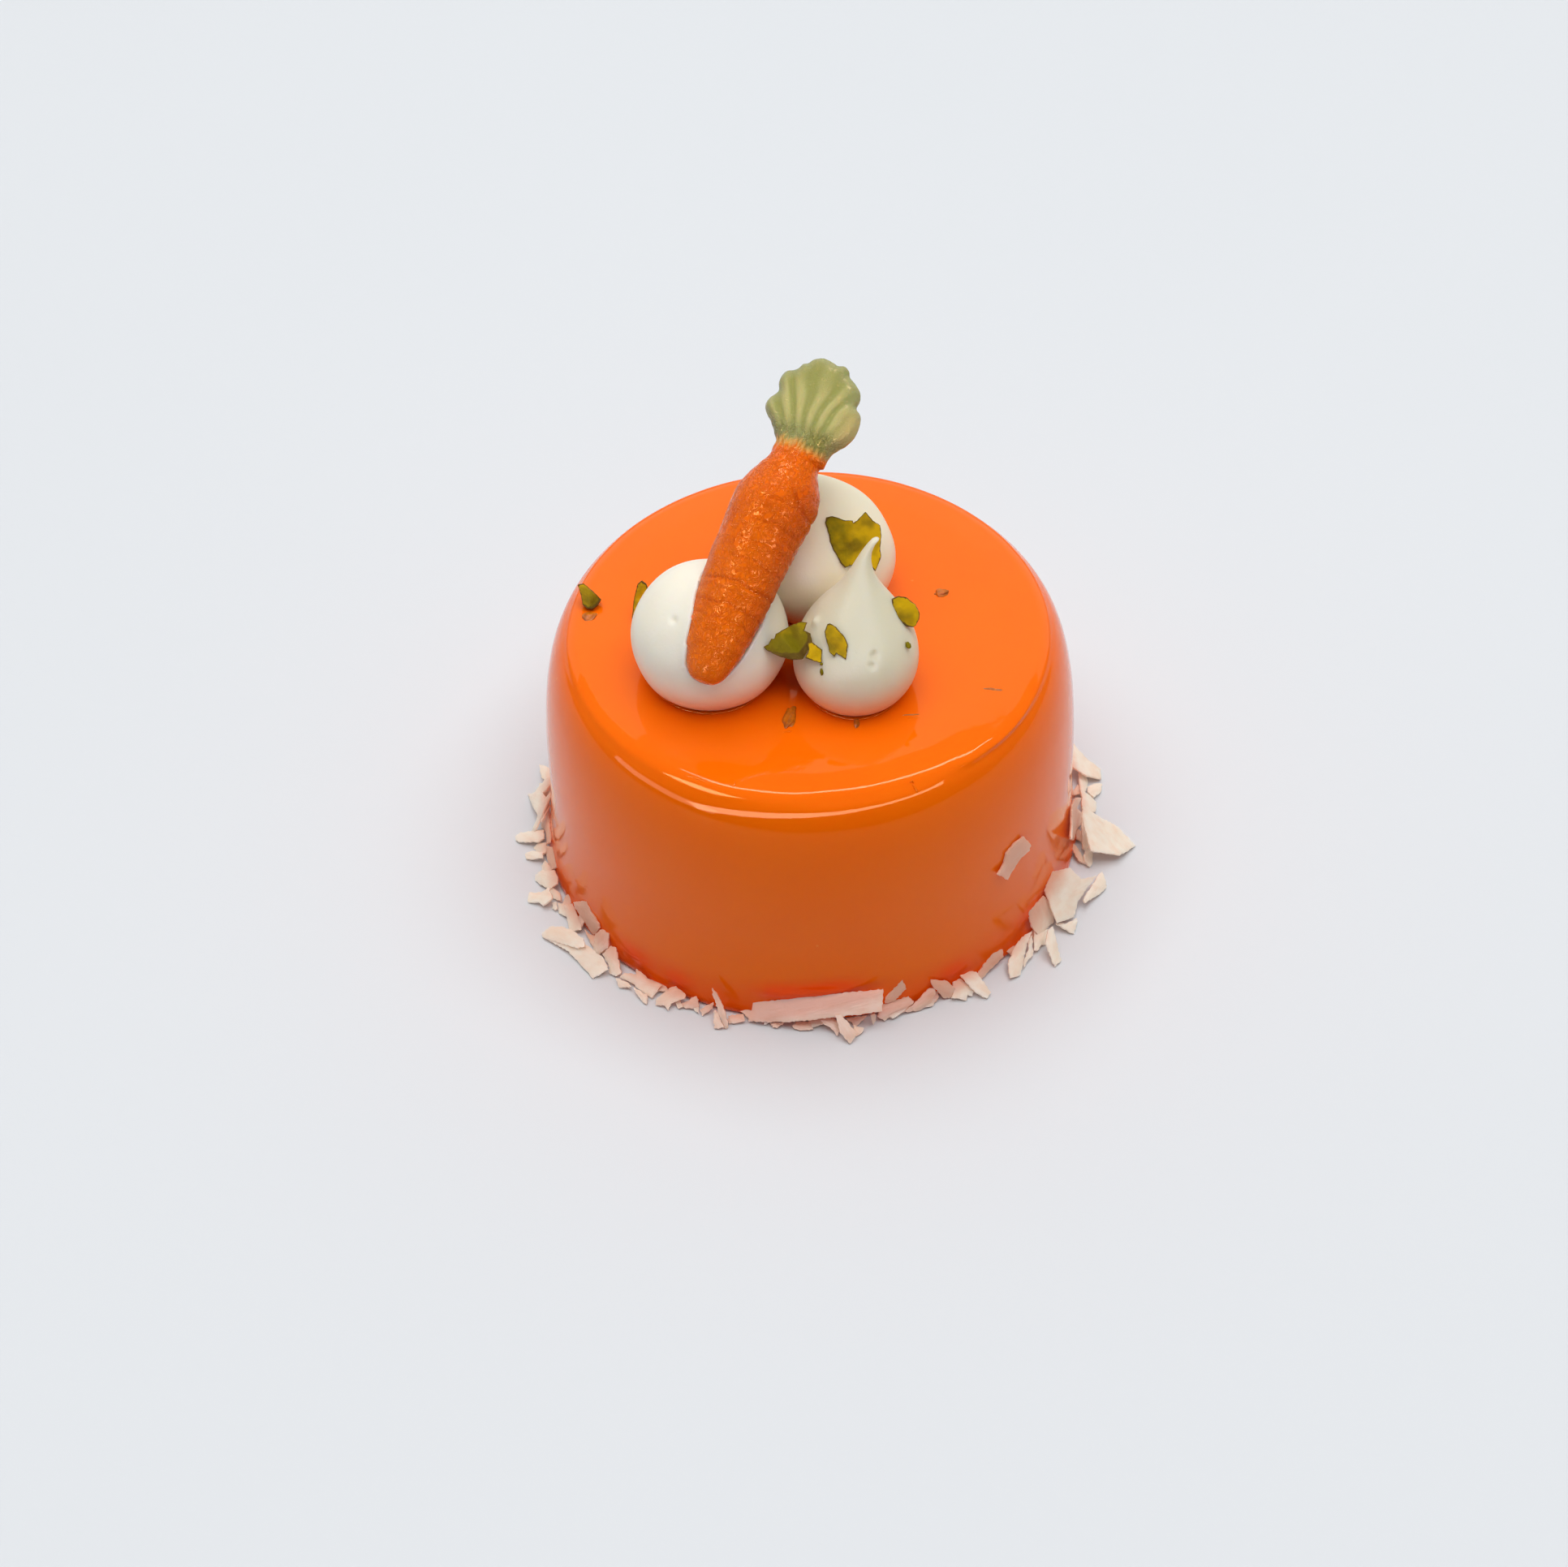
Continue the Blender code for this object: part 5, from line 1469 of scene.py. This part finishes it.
class GlazeSettings(bpy.types.PropertyGroup):
    """Colours and finish of the glaze."""

    colour: colour_property("Colour", "Main colour of the glaze", (0.95, 0.148, 0.001))
    deep_colour: colour_property("Deep Colour", "Where the glaze lies thicker", (0.94, 0.13, 0.001))
    foot_colour: colour_property("Foot Colour", "Low on the wall", (0.92, 0.085, 0.001))
    pool_colour: colour_property("Pool Colour", "Where glaze has gathered at the foot", (0.92, 0.05, 0.002))
    # painted shade in the gap between the creams
    hollow_colour: colour_property("Hollow Colour", "In the gap between the creams", (0.45, 0.02, 0.001))
    speck_colour: colour_property("Speck Colour", "Tiny specks in the glaze", (1.0, 0.3, 0.05))
    tint: colour_property("Shine Tint", "Colour of reflections seen face on", (1.0, 0.62, 0.28))
    roughness: roughness_property("Lowest roughness of the glaze", 0.02)
    ior: bpy.props.FloatProperty(
        name="IOR", description="Index of refraction of the glaze", default=1.38, min=1, max=2)


class CoconutSettings(bpy.types.PropertyGroup):
    """Colours of the coconut flakes."""

    colour: colour_property("Colour", "Main colour of the flakes", (0.84, 0.74, 0.62))
    shade_colour: colour_property("Shade Colour", "Denser parts of the flakes", (0.82, 0.65, 0.51))
    # glaze stain, painted orange bounce of light, and painted shade in front
    stain_colour: colour_property("Stain Colour", "Flakes stained by the glaze", (0.72, 0.36, 0.24))
    roughness: roughness_property("Lowest roughness of the flakes", 0.4)


class CreamSettings(bpy.types.PropertyGroup):
    """Colours of the creams."""

    colour: colour_property("Colour", "Main colour of the cream", (0.90, 0.85, 0.72))
    shade_colour: colour_property("Shade Colour", "Slightly denser cream", (0.87, 0.81, 0.67))
    # painted shade on the right sides and painted light on the cream behind
    warm_colour: colour_property("Warm Colour", "The cream to the right", (0.72, 0.67, 0.475))
    back_colour: colour_property("Back Colour", "The cream behind", (0.97, 0.83, 0.60))
    # painted orange bounce of light from the glaze
    foot_colour: colour_property("Foot Colour", "Low down, beside the glaze", (0.86, 0.44, 0.18))
    roughness: roughness_property("Lowest roughness of the cream", 0.4)


class CarrotSettings(bpy.types.PropertyGroup):
    """Colours of the carrot."""

    tip_colour: colour_property("Tip Colour", "Root near its tip", (0.92, 0.165, 0.001))
    root_colour: colour_property("Root Colour", "Root near its leaf", (0.92, 0.155, 0.001))
    # used for the root's mottling and for the painted shade down its right side
    root_deep_colour: colour_property("Root Deep Colour", "Mottling of the root", (0.68, 0.075, 0.001))
    # painted shade in the grooves
    groove_colour: colour_property("Groove Colour", "In the grooves of the root", (0.58, 0.055, 0.001))
    amber_colour: colour_property("Amber Colour", "Where root and leaf meet", (0.72, 0.30, 0.04))
    streak_colour: colour_property("Streak Colour", "Fine light streaks there", (0.80, 0.47, 0.15))
    leaf_colour: colour_property("Leaf Colour", "Ribs of the leaf", (0.56, 0.51, 0.21))
    leaf_deep_colour: colour_property("Leaf Deep Colour", "Between the ribs", (0.34, 0.345, 0.105))
    leaf_base_colour: colour_property("Leaf Base Colour", "Grey-green at its foot", (0.29, 0.30, 0.11))
    leaf_dark_colour: colour_property("Leaf Dark Colour", "Patch beside its foot", (0.25, 0.225, 0.05))
    ochre_colour: colour_property("Ochre Colour", "The leaf's yellowed right side", (0.54, 0.43, 0.17))
    # painted shade along the leaf's edge
    leaf_edge_colour: colour_property("Leaf Edge Colour", "The leaf's duller edge", (0.31, 0.32, 0.15))
    roughness: roughness_property("Lowest roughness of the carrot", 0.14)


class PistachioSettings(bpy.types.PropertyGroup):
    """Colours of the pistachio pieces and crumbs."""

    green_colour: colour_property("Green Colour", "Olive flesh", (0.16, 0.125, 0.001))
    yellow_colour: colour_property("Yellow Colour", "Lighter flesh", (0.60, 0.36, 0.001))
    shade_colour: colour_property("Shade Colour", "Dark patches", (0.13, 0.08, 0.003))
    skin_colour: colour_property("Skin Colour", "Skin at the rim", (0.075, 0.034, 0.008))
    crumb_colour: colour_property("Crumb Colour", "Crumbs under a film of glaze", (0.62, 0.16, 0.001))
    crumb_shade_colour: colour_property("Crumb Shade Colour", "Darker crumb", (0.34, 0.085, 0.001))
    roughness: roughness_property("Lowest roughness of the nuts", 0.38)


class StageSettings(bpy.types.PropertyGroup):
    """Table, light and surroundings."""

    floor_colour: colour_property("Table Colour", "Main colour of the table", (0.69, 0.715, 0.74))
    floor_shade_colour: colour_property("Table Shade Colour", "Slightly darker parts", (0.67, 0.695, 0.72))
    floor_size: bpy.props.FloatProperty(
        name="Table Size", description="Width of the table", default=6.0, unit="LENGTH")
    world_strength: power_property("Surroundings", "Brightness all round", 0.42)
    top_power: power_property("Top Light", "The large light above", 42.0)
    wall_power: power_property("Bright Wall", "The bright wall behind, seen in the glaze", 11.0)
    back_power: power_property("Back Strip", "The light behind, seen as the edge's inner line", 3.7)
    front_power: power_property("Front Strip", "The light in front, seen as the edge's outer line", 9.6)
    left_power: power_property("Left Strip", "The light that carries the outer line on to the left", 3.1)
    lamp_power: power_property("Lamp", "The small lamp above, seen in the carrot's wrinkles", 10.0)


GROUPS = {
    "mousse_glaze": GlazeSettings, "mousse_coconut": CoconutSettings, "mousse_cream": CreamSettings,
    "mousse_carrot": CarrotSettings, "mousse_pistachio": PistachioSettings, "mousse_stage": StageSettings,
}


# --- operators and panel --------------------------------------------------------------------------

class AddGlaze(bpy.types.Operator):
    """Build the glazed body"""

    bl_idname = "mousse_cake.glaze"
    bl_label = "Glazed Body"

    def execute(self, context):
        make_glaze(context.scene.mousse_glaze)
        return {"FINISHED"}


class AddFlakes(bpy.types.Operator):
    """Build the coconut flakes round the foot"""

    bl_idname = "mousse_cake.flakes"
    bl_label = "Coconut Flakes"

    def execute(self, context):
        make_flakes(context.scene.mousse_coconut)
        return {"FINISHED"}


class AddCreams(bpy.types.Operator):
    """Build the three cream kisses"""

    bl_idname = "mousse_cake.creams"
    bl_label = "Cream Kisses"

    def execute(self, context):
        material = cream_material(context.scene.mousse_cream)
        for name, sizes in KISSES.items():
            make_kiss(name, sizes, material)
        return {"FINISHED"}


class AddCarrot(bpy.types.Operator):
    """Build the moulded carrot"""

    bl_idname = "mousse_cake.carrot"
    bl_label = "Carrot"

    def execute(self, context):
        make_carrot(context.scene.mousse_carrot)
        return {"FINISHED"}


class AddPistachios(bpy.types.Operator):
    """Build the pistachio pieces and crumbs"""

    bl_idname = "mousse_cake.pistachios"
    bl_label = "Pistachio"

    def execute(self, context):
        material = pistachio_material(context.scene.mousse_pistachio)
        for name, sizes in PISTACHIOS.items():
            make_pistachio(name, sizes, material)
        make_crumbs(context.scene.mousse_pistachio, material)
        return {"FINISHED"}


class AddStage(bpy.types.Operator):
    """Build the table, the lights and the camera"""

    bl_idname = "mousse_cake.stage"
    bl_label = "Stage"

    def execute(self, context):
        settings = context.scene.mousse_stage
        make_floor(settings)
        make_world(settings)
        make_lights(settings)
        make_camera()
        context.scene.view_settings.view_transform = "Standard"
        return {"FINISHED"}


OPERATORS = (AddGlaze, AddFlakes, AddCreams, AddCarrot, AddPistachios, AddStage)


class CakePanel(bpy.types.Panel):
    """Lists the cake's pieces and their settings."""

    bl_idname = "VIEW3D_PT_mousse_cake"
    bl_label = "Mini Mousse Cake"
    bl_space_type = "VIEW_3D"
    bl_region_type = "UI"
    bl_category = "Mousse Cake"

    def draw(self, context):
        for operator in OPERATORS:
            self.layout.operator(operator.bl_idname)
        for name in GROUPS:
            box = self.layout.box()
            group = getattr(context.scene, name)
            for key in group.bl_rna.properties.keys():
                if key not in ("rna_type", "name"):
                    box.prop(group, key)


CLASSES = (*GROUPS.values(), *OPERATORS, CakePanel)


def register():
    for item in CLASSES:
        bpy.utils.register_class(item)
    for name, group in GROUPS.items():
        setattr(bpy.types.Scene, name, bpy.props.PointerProperty(type=group))


def unregister():
    for name in GROUPS:
        delattr(bpy.types.Scene, name)
    for item in reversed(CLASSES):
        bpy.utils.unregister_class(item)


def main():
    """Build every piece in turn."""
    register()
    for operator in OPERATORS:
        category, name = operator.bl_idname.split(".")
        getattr(getattr(bpy.ops, category), name)()


if __name__ == "__main__":
    main()
